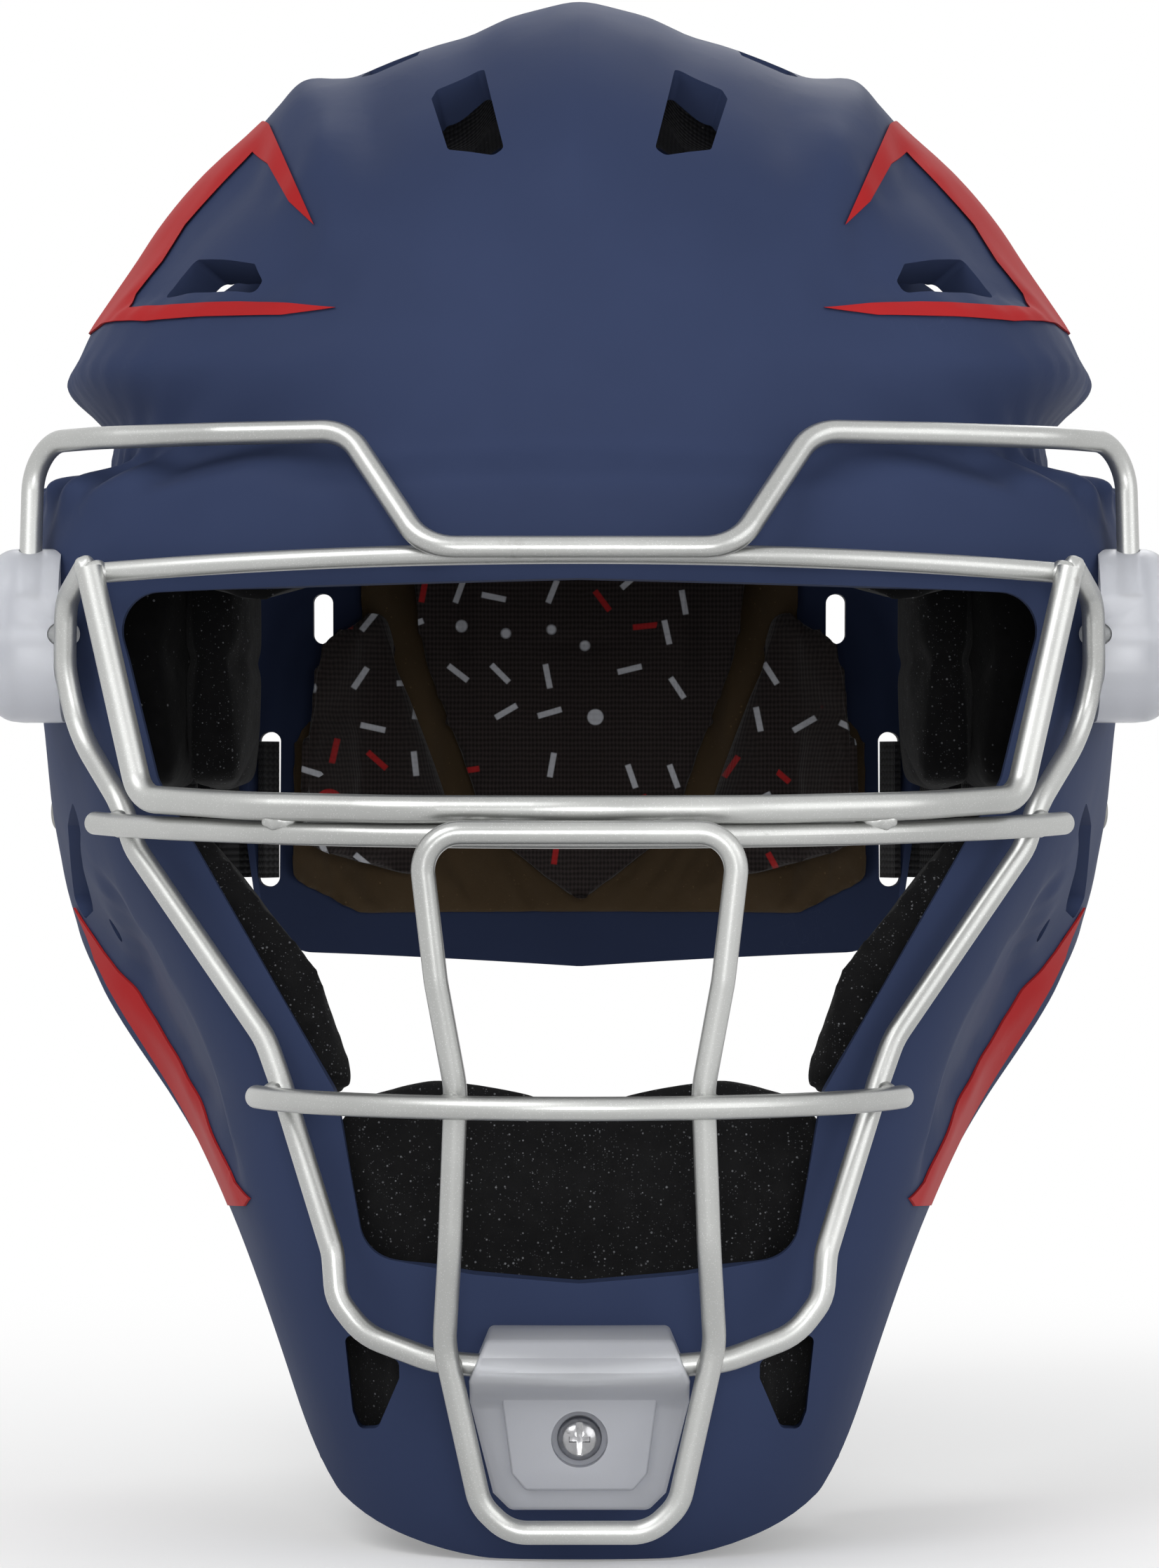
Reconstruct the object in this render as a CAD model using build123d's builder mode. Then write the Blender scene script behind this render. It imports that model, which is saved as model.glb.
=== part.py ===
from build123d import *
import math
import os

os.makedirs("parts", exist_ok=True)

# A hockey-style catcher helmet, as it sits on a level head, in millimetres.
# The face looks along -Y and +Z is up. The middle plane is x = 0, the ear line is y = 0,
# and z = 0 is the lowest point of the chin, level with the opening that the head goes in by.

# Overall sizes
shell_height = 332.0
shell_half_width = 118.0
shell_depth = 252.0            # from the mouth to the nape
shell_wall = 3.5
lip_depth = 9.0                # how deep the moulded rims of the openings turn in
lip_wall = 3.0
seat_gap = 0.3                 # what a soft or clipped-on piece stays clear of its seat
overrun = 60.0                 # what a cut runs past the wall

# Relief moulded into the skin
spine_half_width = 17.0
spine_height = 2.4
channel_depth = 1.2
shoulder_rise = 3.5
facet_depth = 1.8
groove_front_depth = 1.5
groove_side_depth = 12.0
lip_bulge = 5.0
visor_height = 3.0
jaw_panel_depth = 2.2
soft_edge = 8.0
crisp_edge = 4.0

# Cage wires
frame_wire = 5.6
bar_wire = 4.7
light_wire = 4.2
wire_bend = 9.0

# Clips and their screws
side_clip_thick = 15.5
side_clip_outer = 123.0
side_clip_long, side_clip_tall = 38.0, 36.0
clip_round = 3.0
side_clip_round, side_clip_corner = 6.0, 11.0
screw_shank = 5.0
screw_head = 8.8
screw_head_height = 2.6
screw_head_round = 1.8
screw_recess = 11.0
drive_long, drive_short, drive_wide, drive_depth = 5.7, 4.0, 1.1, 1.2
nut_barrel = 7.0
nut_flange = 16.0
nut_flange_height = 1.4
hole_gap = 0.2

# Pads
brow_foam = 14.0
chin_foam = 16.0
jaw_foam = 8.0
crown_foam = 15.0
temple_liner_x, temple_pad_x = 86.0, 72.0
temple_round = 4.0
strap_room_x = 98.0            # the liner leaves room outside this for the side strap
pad_corner = 8.0
pad_crown_run = 14.0
pad_crown_share = 0.28
rear_base_foam = 5.0
rear_foam = 12.0

# Back plate, straps, buckles and rivets
plate_wall = 3.5
plate_corner = 9.0
plate_slot_wide, plate_slot_tall = 4.5, 12.0
strap_slot_wide = 6.0
strap_thick = 1.6
top_strap_wide = 25.0
side_strap_wide = 32.0
strap_bend = 2.0
strap_curve = 30.0
buckle_bar = 3.0
buckle_long = 16.0
buckle_slot = 4.2
buckle_slot_at = 3.4
rivet_head, rivet_head_height = 9.0, 1.5
rivet_shank = 4.0
rivet_foot_height = 1.2
rivet_reach = 10.0             # from the skin to the far side of the strap

# Stripes
stripe_film = 0.5
film_gap = 0.1


# Places are given as shares of the half width, the depth and the height
def at(x_share, y_share, z_share):
    return Vector(x_share * shell_half_width, y_share * shell_depth, z_share * shell_height)


def side_view(shares):
    return [(y * shell_depth, z * shell_height) for y, z in shares]


def front_view(shares, side=1):
    return [(side * x * shell_half_width, z * shell_height) for x, z in shares]


# The skin's line in the middle plane, from under the chin over the brow and the crown to the nape
PROFILE_SHARES = (
    (-0.348, -0.107), (-0.468, 0), (-0.508, 0.090), (-0.523, 0.180), (-0.523, 0.271), (-0.516, 0.361),
    (-0.511, 0.452), (-0.500, 0.527), (-0.476, 0.602), (-0.465, 0.662), (-0.444, 0.738), (-0.417, 0.807),
    (-0.370, 0.867), (-0.298, 0.917), (-0.199, 0.958), (-0.080, 0.979), (0.059, 0.991), (0.179, 0.986),
    (0.286, 0.961), (0.376, 0.910), (0.444, 0.837), (0.475, 0.780),
)
# Every row of the skin runs from a point of that line to the side, where it would end on the ear axis
EAR_AXIS_SHARES = (0.337, 0.361)
FRONT_POWERS = (7, 7, 7, 8, 8, 8, 8, 8, 8.5, 8, 7, 6, 5.3, 4.8, 4.7, 4.7, 4.8, 4.8, 4.8, 4.7, 4.6, 4.4)
SIDE_POWERS = (2.4, 2.4, 2.4, 2.4, 2.4, 2.4, 2.4, 2.3, 2.2, 2.2, 2.1, 1.95, 1.8, 1.65, 1.6,
               1.6, 1.6, 1.6, 1.7, 1.8, 1.8, 1.9)
# The jaw narrows towards the chin: shares of the half width, at these shares of a row's length
TAPER_AT_SHARES = (0, 0.25, 0.4, 0.55, 0.75, 1)
TAPER_SHARES = (
    (1, 1, 0.80, 0.62, 0.54, 0.53),
    (1, 1, 0.82, 0.64, 0.55, 0.54),
    (1, 1, 0.84, 0.68, 0.60, 0.59),
    (1, 1, 0.87, 0.73, 0.65, 0.63),
    (1, 1, 0.90, 0.78, 0.70, 0.68),
    (1, 1, 0.925, 0.83, 0.79, 0.765),
    (1, 1, 0.965, 0.92, 0.89, 0.865),
    (1, 1, 0.985, 0.955, 0.93, 0.90),
    (1, 1, 1, 0.985, 0.97, 0.95),
    (1, 1, 1, 1, 1, 1),
)
NAPE_SHARE = 0.484             # how far behind the ears the plan outline closes
ROWS = range(len(PROFILE_SHARES))
LAST_ROW = len(PROFILE_SHARES) - 1
END_SHARE = 0.10               # a row stops this share of its length before the ear axis
ROW_STEP = 0.02
GRID_ROWS, GRID_COLUMNS = 72, 73
ACROSS_STEP = 0.0005

# Where the relief lies
GROOVE_SHARES = (0.732, 0.700, 0.672, 0.660)     # heights: start, full depth, end, foot of the visor's edge
LIP_SHARES = (0.825, 0.745)
VISOR_LOW_SHARES = (0.545, 0.573)
CROWN_LOW_SHARES = (0.790, 0.880)
SHOULDER_SHARES = ((0.789, 0.356), (0.946, 0.458))    # height and half width of the shoulder line
SPINE_LOW_SHARE = 0.82
SPINE_FULL_SHARE = 0.945
SPINE_PEAK_SHARE = 0.75        # how much of its height the spine loses from its ridge to its edges
FACET_SHARES = ((0.598, 0.880), (0.462, 0.817), (0.424, 0.767), (0.805, 0.774))
JAW_PANEL_SHARES = ((-0.310, 0.428), (-0.333, 0.334), (-0.385, 0.265), (-0.377, 0.217), (-0.238, 0.265),
                    (-0.079, 0.340))


def through(steps, values, x):
    """A smooth curve through the values that stand at the steps."""
    if x <= steps[0]:
        return values[0]
    if x >= steps[-1]:
        return values[-1]
    i = max(k for k in range(len(steps) - 1) if steps[k] <= x)

    def slope(k):
        a, b = max(k - 1, 0), min(k + 1, len(steps) - 1)
        return (values[b] - values[a]) / (steps[b] - steps[a])

    span = steps[i + 1] - steps[i]
    u = (x - steps[i]) / span
    return (
        (2 * u**3 - 3 * u**2 + 1) * values[i]
        + (u**3 - 2 * u**2 + u) * span * slope(i)
        + (3 * u**2 - 2 * u**3) * values[i + 1]
        + (u**3 - u**2) * span * slope(i + 1)
    )


def ease(low, high, x):
    """0 at low, 1 at high and a smooth turn between them."""
    u = min(max((x - low) / (high - low), 0), 1)
    return u * u * (3 - 2 * u)


def inside(outline, a, b):
    """How far a point lies inside an outline that bulges everywhere."""
    middle_a = sum(p[0] for p in outline) / len(outline)
    middle_b = sum(p[1] for p in outline) / len(outline)
    depths = []
    for (a0, b0), (a1, b1) in zip(outline, outline[1:] + outline[:1]):
        run = math.hypot(a1 - a0, b1 - b0)
        depth = ((a1 - a0) * (b - b0) - (b1 - b0) * (a - a0)) / run
        middle = (a1 - a0) * (middle_b - b0) - (b1 - b0) * (middle_a - a0)
        depths.append(math.copysign(1, middle) * depth)
    return min(depths)


class Row:
    """One row of the skin."""

    def __init__(self, place):
        self.y = through(ROWS, [y for y, z in PROFILE_SHARES], place) * shell_depth
        self.z = through(ROWS, [z for y, z in PROFILE_SHARES], place) * shell_height
        self.front = through(ROWS, FRONT_POWERS, place)
        self.side = through(ROWS, SIDE_POWERS, place)
        self.taper = [through(range(len(TAPER_SHARES)), column, place) for column in zip(*TAPER_SHARES)]
        self.end = (1 - END_SHARE) ** (1 / self.side)

    def point(self, across):
        """across is 0 in the middle and 1 at the ear axis, to either side."""
        share = 1 - abs(across) ** self.side
        y = share * self.y + (1 - share) * EAR_AXIS_SHARES[0] * shell_depth
        z = share * self.z + (1 - share) * EAR_AXIS_SHARES[1] * shell_height
        plan = max(1 - (max(y, 0) / (NAPE_SHARE * shell_depth)) ** 1.7, 0) ** 0.6
        wide = through(TAPER_AT_SHARES, self.taper, share) * (1 - share**self.front) ** (1 / self.side)
        return Vector(math.copysign(shell_half_width * plan * wide, across), y, z)


def relief(point):
    """How far the moulded skin stands above the plain one."""
    x = abs(point.X)
    z = point.Z / shell_height
    start, full, end, foot = GROOVE_SHARES
    side_share = (x / shell_half_width) ** 3
    groove = ease(start, full, z) * ease(foot, end, z)
    height = -groove * (groove_front_depth + (groove_side_depth - groove_front_depth) * side_share)
    height += lip_bulge * side_share * ease(LIP_SHARES[0], LIP_SHARES[1], z) * ease(full, start, z)
    visor = ease(end, foot, z) * ease(*VISOR_LOW_SHARES, z)
    height += visor_height * visor * ease(0.12, -0.12, point.Y / shell_depth)
    (low, narrow), (high, broad) = SHOULDER_SHARES
    shoulder = (narrow + (broad - narrow) * min(max((z - low) / (high - low), 0), 1)) * shell_half_width
    climb = min(max((z - SPINE_LOW_SHARE) / (SPINE_FULL_SHARE - SPINE_LOW_SHARE), 0), 1)
    spine = spine_half_width * math.sqrt(climb)
    ridge = 1 - SPINE_PEAK_SHARE * min(x / max(spine, crisp_edge), 1)
    ridge *= ease(spine + crisp_edge / 2, spine - crisp_edge / 2, x)
    height += spine_height * ridge * ease(0, 0.3, climb)
    channel = ease(spine, spine + soft_edge, x) * ease(shoulder + crisp_edge, shoulder, x)
    height -= channel_depth * channel * ease(*CROWN_LOW_SHARES, z)
    rise = ease(shoulder - soft_edge / 2, shoulder + crisp_edge, x)
    rise *= ease(shoulder + 3 * soft_edge, shoulder + crisp_edge, x)
    height += shoulder_rise * rise * ease(*CROWN_LOW_SHARES, z)
    facet = ease(-crisp_edge / 2, crisp_edge / 2, inside(front_view(FACET_SHARES), x, point.Z))
    height -= facet_depth * facet * ease(-0.35, -0.05, -point.Y / shell_depth - 0.05)
    panel = inside(side_view(JAW_PANEL_SHARES), point.Y, point.Z)
    height -= jaw_panel_depth * ease(-crisp_edge / 2, crisp_edge, panel)
    return height


def skin(first, last, left, right, rows, columns):
    """Rows of skin points, each with the direction that faces out there."""
    lines = []
    for i in range(rows):
        place = first + (last - first) * i / (rows - 1)
        row, above, below = Row(place), Row(place + ROW_STEP), Row(place - ROW_STEP)
        line = []
        for j in range(columns):
            across = row.end * (left + (right - left) * j / (columns - 1))
            point = row.point(across)
            up = above.point(across) - below.point(across)
            if abs(across) < 2 * ACROSS_STEP:
                sideways = Vector(1, 0, 0)
            else:
                sideways = row.point(across + ACROSS_STEP) - row.point(across - ACROSS_STEP)
            outward = sideways.cross(up).normalized()
            line.append((point + outward * relief(point), outward))
        lines.append(line)
    return lines


def sunk(line, depth):
    """The points of a row at a depth under the skin, which may be a function of the skin's point."""
    return [point - outward * (depth(point) if callable(depth) else depth) for point, outward in line]


def layer(lines, near, far, half=False):
    """The solid between two depths under the skin, or its right half."""
    turns = [j / (len(lines[0]) - 1) for j in range(len(lines[0]))]
    pairs = []
    wires = []
    for line in lines:
        over = Edge.make_spline(sunk(line, near), parameters=turns)
        under = Edge.make_spline(sunk(line, far), parameters=turns)
        if half:
            over, under = over.trim(0.5, 1), under.trim(0.5, 1)
        ends = [Edge.make_line(over @ 1, under @ 1), Edge.make_line(under @ 0, over @ 0)]
        pairs.append((over, under))
        wires.append(Wire([over, ends[0], under, ends[1]]))
    body = Solid.make_loft(wires)
    if len(body.faces()) > 4:
        return body    # between flat end rows the loft is closed already
    caps = [Face.make_surface_from_curves(over, under) for over, under in (pairs[0], pairs[-1])]
    return Solid(Shell([*body.faces(), *caps]))


def out(builder, name):
    """Names a finished sub-part and writes it."""
    builder.part.label = name
    export_step(builder.part, f"parts/{name}.step")


# Front shell: the moulded wall, with rims that turn in at the vents and round the face
RIM_SHARES = (
    (-0.60, 0), (-0.460, 0), (-0.436, 0.0105), (-0.377, 0.033), (-0.317, 0.081), (-0.238, 0.151),
    (-0.099, 0.268), (0, 0.346), (0.060, 0.380), (0.198, 0.388), (0.222, 0.590), (0.260, 0.780),
    (0.330, 0.800), (0.56, 0.795), (0.56, 1.04), (-0.60, 1.04),
)
RIM_CORNERS = (0.2, 0.2, 0.5, 0.8, 0.8, 0.8, 0.8, 0.8, 0.9, 1.5, 3.5, 1.6, 1.6, 0.2, 0.2, 0.2)
rim_corner = 10.0
FACE_SHARES = ((0, 0.594), (0.814, 0.587), (0.729, 0.473), (0.497, 0.334), (0.413, 0.283), (0.364, 0.186),
               (0.178, 0.176), (0, 0.171))
face_corner = 8.0
face_cut_back_share = 0.12

# Each vent lies square to the skin: its middle, its facing and its outline in shares of its own size
crown_vent_long, crown_vent_wide = 36.0, 16.0
CROWN_VENT_AT = (0.203, -0.310, 0.892)
CROWN_VENT_FACING = (0.22, -0.63, 0.745)
CROWN_VENT_SHARES = (
    (0.42, 0.38), (-0.22, 0.50), (-0.53, -0.44), (-0.39, -0.48), (0.21, -0.36), (0.48, 0.27),
)
rear_vent_long, rear_vent_wide = 30.0, 14.0
REAR_VENT_AT = (0.350, -0.075, 0.947)
REAR_VENT_FACING = (0.35, -0.12, 0.93)
REAR_VENT_SHARES = ((0.40, 0.50), (-0.50, 0.42), (-0.45, -0.46), (0.30, -0.50), (0.50, -0.34))
side_vent_long, side_vent_wide = 28.0, 22.0
SIDE_VENT_AT = (0.644, -0.330, 0.789)
SIDE_VENT_FACING = (0.61, -0.61, 0.5)
SIDE_VENT_SHARES = ((0.31, 0.56), (-0.33, -0.04), (-0.40, -0.30), (-0.34, -0.43), (0.56, 0.17))
back_vent_long, back_vent_wide = 28.0, 17.0
BACK_VENT_AT = (0.727, 0.198, 0.826)
BACK_VENT_FACING = (0.79, 0.46, 0.40)
BACK_VENT_SHARES = ((0.42, 0.45), (-0.46, 0.40), (-0.50, -0.35), (-0.30, -0.50), (0.45, -0.42))
vent_corner = 1.5
CHIN_VENT_SHARES = (
    (0.401, 0.135), (0.366, 0.137), (0.306, 0.121), (0.306, 0.111), (0.344, 0.079), (0.377, 0.077),
    (0.389, 0.088),
)
chin_vent_back_share = 0.38
STRAP_SLOT_SHARES = ((-0.230, 0.458), (-0.254, 0.443), (-0.079, 0.386), (-0.032, 0.380), (-0.016, 0.389),
                     (-0.143, 0.443))
strap_slot_corner = 3.0
trim_hole = 5.0
TRIM_HOLE_AT = (0.834, -0.119, 0.374)
TRIM_HOLE_FACING = (0.92, -0.38, 0)
SIDE_SCREW_AT = (-0.238, 0.540)
CHIN_SCREW_Z_SHARE = 0.080
SIDE_RIVET_AT = (0.9864, 0.0556, 0.4518)
SIDE_RIVET_FACING = (0.97, 0.23, 0.02)
TOP_RIVET_AT = (0, 0.3829, 0.9151)
TOP_RIVET_FACING = (0, 0.72, 0.69)


def vent_plane(place, facing, side):
    middle = at(side * place[0], place[1], place[2])
    return Plane(origin=middle, x_dir=(side, 0, 0), z_dir=(side * facing[0], facing[1], facing[2]))


VENTS = (
    (CROWN_VENT_AT, CROWN_VENT_FACING, CROWN_VENT_SHARES, crown_vent_wide, crown_vent_long),
    (REAR_VENT_AT, REAR_VENT_FACING, REAR_VENT_SHARES, rear_vent_wide, rear_vent_long),
    (SIDE_VENT_AT, SIDE_VENT_FACING, SIDE_VENT_SHARES, side_vent_long, side_vent_wide),
    (BACK_VENT_AT, BACK_VENT_FACING, BACK_VENT_SHARES, back_vent_long, back_vent_wide),
)


def vent_outline(shares, wide, tall, side):
    """On the left the plane is turned round, so its up direction points down."""
    return [(x * wide, side * y * tall) for x, y in shares]


face_half = front_view(FACE_SHARES)
face_outline = face_half[1:] + [(-x, z) for x, z in face_half[-2:0:-1]] + face_half[:1]


def wall_depth(point):
    """The wall is thicker along the rims of the face opening and the vents."""
    near_rim = ease(-lip_wall - crisp_edge, -lip_wall, inside(face_outline, point.X, point.Z))
    if point.Y > -face_cut_back_share * shell_depth:
        near_rim = 0
    for place, facing, shares, wide, tall in VENTS:
        spot = vent_plane(place, facing, 1).to_local_coords(Vector(abs(point.X), point.Y, point.Z))
        if abs(spot.Z) < 2 * lip_depth:
            edge = inside(vent_outline(shares, wide, tall, 1), spot.X, spot.Y)
            near_rim = max(near_rim, ease(-lip_wall - crisp_edge, -lip_wall, edge))
    return shell_wall + (lip_depth - shell_wall) * near_rim


shell_lines = skin(0, LAST_ROW, -1, 1, GRID_ROWS, GRID_COLUMNS)


def zone(first, last, left, right):
    """The stretch of the shell's own grid between two rows and two places across."""
    rows = [i for i in range(GRID_ROWS) if first <= LAST_ROW * i / (GRID_ROWS - 1) <= last]
    columns = [j for j in range(GRID_COLUMNS) if left <= 2 * j / (GRID_COLUMNS - 1) - 1 <= right]
    return [[shell_lines[i][j] for j in columns] for i in rows]


with BuildPart() as front_shell:
    add(layer(shell_lines, 0, wall_depth, half=True))
    with BuildSketch(Plane.YZ):
        with BuildLine():
            rim_radii = [rim_corner * share for share in RIM_CORNERS]
            FilletPolyline(*side_view(RIM_SHARES), radius=rim_radii, close=True)
        make_face()
    extrude(amount=2 * shell_half_width, mode=Mode.INTERSECT, clean=False)
    with BuildSketch(Plane.XZ.offset(face_cut_back_share * shell_depth)):
        with BuildLine():
            FilletPolyline(*face_outline, radius=face_corner, close=True)
        make_face()
    extrude(amount=shell_depth, mode=Mode.SUBTRACT, clean=False)
    for place, facing, shares, wide, tall in VENTS:
        with BuildSketch(vent_plane(place, facing, 1)):
            with BuildLine():
                FilletPolyline(*vent_outline(shares, wide, tall, 1), radius=vent_corner, close=True)
            make_face()
        extrude(amount=2 * lip_depth, both=True, mode=Mode.SUBTRACT, clean=False)
    with BuildSketch(Plane.XZ.offset(chin_vent_back_share * shell_depth)):
        with BuildLine():
            FilletPolyline(*front_view(CHIN_VENT_SHARES), radius=vent_corner, close=True)
        make_face()
    extrude(amount=shell_depth, mode=Mode.SUBTRACT, clean=False)
    with BuildSketch(Plane.YZ.offset(shell_half_width)):
        with BuildLine():
            FilletPolyline(*side_view(STRAP_SLOT_SHARES), radius=strap_slot_corner, close=True)
        make_face()
    extrude(amount=2 * lip_depth, both=True, mode=Mode.SUBTRACT, clean=False)
    with BuildSketch(Plane(origin=at(*TRIM_HOLE_AT), z_dir=TRIM_HOLE_FACING)):
        Circle(trim_hole / 2)
    extrude(amount=lip_depth, both=True, mode=Mode.SUBTRACT, clean=False)
    with BuildSketch(Plane.YZ.offset(shell_half_width)):
        with Locations((SIDE_SCREW_AT[0] * shell_depth, SIDE_SCREW_AT[1] * shell_height)):
            Circle(nut_barrel / 2 + hole_gap)
    extrude(amount=2 * lip_depth, both=True, mode=Mode.SUBTRACT, clean=False)
    with BuildSketch(Plane.XZ.offset(chin_vent_back_share * shell_depth)):
        with Locations((0, CHIN_SCREW_Z_SHARE * shell_height)):
            Circle(nut_barrel / 2 + hole_gap)
    extrude(amount=shell_depth, mode=Mode.SUBTRACT, clean=False)
    for place, facing in ((SIDE_RIVET_AT, SIDE_RIVET_FACING), (TOP_RIVET_AT, TOP_RIVET_FACING)):
        with BuildSketch(Plane(origin=at(*place), z_dir=facing)):
            Circle(rivet_shank / 2 + hole_gap)
        extrude(amount=rivet_reach, both=True, mode=Mode.SUBTRACT, clean=False)
    mirror(about=Plane.YZ)
out(front_shell, "front_shell")


# Cage: steel wires that are bent, welded where they cross, and painted silver
def both_sides(half):
    """A run from left to right through points that are given for the right side, outermost first."""
    left = [at(-x, y, z) for x, y, z in half]
    right = [at(x, y, z) for x, y, z in half if x]
    return left + right[::-1]


# How far each wire leans out is set by the skin behind it and by the wires that it is welded to
BROW_WIRE_SHARES = (
    (0.967, -0.333, 0.587), (0.965, -0.306, 0.684), (0.839, -0.377, 0.684), (0.620, -0.430, 0.684),
    (0.398, -0.464, 0.684), (0.262, -0.532, 0.611),
)
BROW_WIRE_BENDS = (1.0, 3.0, 3.0, 1.2, 1.2)
EYE_FRAME_SHARES = (
    (0.842, -0.437, 0.601), (0.746, -0.480, 0.461), (0.560, -0.565, 0.457), (0.300, -0.620, 0.455),
    (0, -0.6369, 0.4548),
)
EYE_FRAME_BENDS = (0.75, 4.0, 6.0)
EYE_TOP_SHARES = ((0.822, -0.4286, 0.599), (0, -0.5168, 0.608))
SIDE_WIRE_SHARES = (
    (0.853, -0.420, 0.602), (0.895, -0.373, 0.583), (0.899, -0.361, 0.542), (0.878, -0.357, 0.503),
    (0.791, -0.417, 0.458), (0.766, -0.425, 0.431), (0.534, -0.480, 0.316), (0.508, -0.488, 0.291),
    (0.414, -0.532, 0.190), (0.408, -0.535, 0.163), (0.362, -0.540, 0.142), (0.242, -0.554, 0.127),
    (0, -0.560, 0.120),
)
SIDE_WIRE_BENDS = (0.9, 2.0, 2.0, 1.5, 1.5, 2.0, 2.0, 1.0, 1.0, 1.5, 2.5)
CHEEK_SHARES = ((0.839, -0.399, 0.4458), (0, -0.635, 0.4392))
MOUTH_SHARES = ((0.549, -0.480, 0.281), (0, -0.665, 0.282))
LOOP_SHARES = (
    (0.263, -0.6528, 0.4416), (0.235, -0.643, 0.355), (0.203, -0.630, 0.292),
    (0.214, -0.611, 0.195), (0.225, -0.5734, 0.139), (0.166, -0.556, 0.042),
    (0.118, -0.554, 0.0253),
)
LOOP_BENDS = (0.8, 2.5, 3.0, 3.0, 1.6, 1.0, 1.0)
PEG_SHARES = ((0.888, -0.369, 0.563), (1.000, -0.300, 0.563))


def bends(shares, middle=0):
    """Bend radii of a run that is the same on both sides; middle is for a bend in its middle."""
    radii = [wire_bend * share for share in shares]
    return radii + ([wire_bend * middle] if middle else []) + radii[::-1]


def bar_arc(shares):
    """An arc through its outer end, its middle and the same end on the left."""
    (x, y, z), middle = shares
    return ThreePointArc(at(-x, y, z), at(*middle), at(x, y, z))


def route_start(route):
    return Plane(origin=route @ 0, z_dir=route % 0)


with BuildPart() as cage_brow_wire:
    with BuildLine() as cage_brow_wire_route:
        FilletPolyline(*both_sides(BROW_WIRE_SHARES), radius=bends(BROW_WIRE_BENDS))
    with BuildSketch(route_start(cage_brow_wire_route.line)):
        Circle(bar_wire / 2)
    sweep(path=cage_brow_wire_route.line)
out(cage_brow_wire, "cage_brow_wire")

with BuildPart() as cage_eye_frame:
    with BuildLine() as cage_eye_frame_route:
        FilletPolyline(*both_sides(EYE_FRAME_SHARES), radius=bends(EYE_FRAME_BENDS, 8))
    with BuildSketch(route_start(cage_eye_frame_route.line)):
        Circle(frame_wire / 2)
    sweep(path=cage_eye_frame_route.line)
out(cage_eye_frame, "cage_eye_frame")

with BuildPart() as cage_eye_top_bar:
    with BuildLine() as cage_eye_top_bar_route:
        bar_arc(EYE_TOP_SHARES)
    with BuildSketch(route_start(cage_eye_top_bar_route.line)):
        Circle(light_wire / 2)
    sweep(path=cage_eye_top_bar_route.line)
out(cage_eye_top_bar, "cage_eye_top_bar")

with BuildPart() as cage_side_wire:
    with BuildLine() as cage_side_wire_route:
        FilletPolyline(*both_sides(SIDE_WIRE_SHARES), radius=bends(SIDE_WIRE_BENDS, 4))
    with BuildSketch(route_start(cage_side_wire_route.line)):
        Circle(bar_wire / 2)
    sweep(path=cage_side_wire_route.line)
out(cage_side_wire, "cage_side_wire")

with BuildPart() as cage_cheek_bar:
    with BuildLine() as cage_cheek_bar_route:
        bar_arc(CHEEK_SHARES)
    with BuildSketch(route_start(cage_cheek_bar_route.line)):
        Circle(bar_wire / 2)
    sweep(path=cage_cheek_bar_route.line)
out(cage_cheek_bar, "cage_cheek_bar")

with BuildPart() as cage_mouth_bar:
    with BuildLine() as cage_mouth_bar_route:
        bar_arc(MOUTH_SHARES)
    with BuildSketch(route_start(cage_mouth_bar_route.line)):
        Circle(bar_wire / 2)
    sweep(path=cage_mouth_bar_route.line)
out(cage_mouth_bar, "cage_mouth_bar")

with BuildPart() as cage_centre_loop:
    with BuildLine() as cage_centre_loop_route:
        FilletPolyline(*both_sides(LOOP_SHARES), radius=bends(LOOP_BENDS), close=True)
    with BuildSketch(route_start(cage_centre_loop_route.line)):
        Circle(bar_wire / 2)
    sweep(path=cage_centre_loop_route.line)
out(cage_centre_loop, "cage_centre_loop")

with BuildPart() as cage_clip_pegs:
    for side in (1, -1):
        inner, outer = (at(side * x, y, z) for x, y, z in PEG_SHARES)
        with BuildSketch(Plane(origin=inner, z_dir=outer - inner)):
            Circle(bar_wire / 2)
        extrude(amount=(outer - inner).length)
out(cage_clip_pegs, "cage_clip_pegs")


# Clips: clear blocks that hold the cage on the shell, each with a screw and a nut
SIDE_CLIP_AT = (-0.284, 0.563)
CHIN_CLIP_SIDE_SHARES = (
    (-0.480, 0.036), (-0.537, 0.036), (-0.541, 0.098), (-0.581, 0.107), (-0.584, 0.136),
    (-0.568, 0.145), (-0.480, 0.145),
)
CHIN_CLIP_FRONT_SHARES = ((0.135, 0.036), (0.174, 0.042), (0.183, 0.110), (0.161, 0.145))
CHIN_CLIP_HALF_SHARE = 0.2
SIDE_WALL_SHARE = 0.957        # the skin at the side clip's screw
CHIN_WALL_SHARE = -0.504       # the skin at the chin clip's screw
side_zone = zone(5.0, 12.2, 0.2, 0.94)
chin_zone = zone(0.6, 3.4, -0.4, 0.4)
peg_inner, peg_outer = (at(*share) for share in PEG_SHARES)
chin_face_y = CHIN_CLIP_SIDE_SHARES[2][0] * shell_depth
side_screw_spot = (side_clip_outer, SIDE_SCREW_AT[0] * shell_depth, SIDE_SCREW_AT[1] * shell_height)
side_screw_plane = Plane(origin=side_screw_spot, z_dir=(1, 0, 0))
chin_screw_plane = Plane(origin=(0, chin_face_y, CHIN_SCREW_Z_SHARE * shell_height), z_dir=(0, -1, 0))

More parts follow.
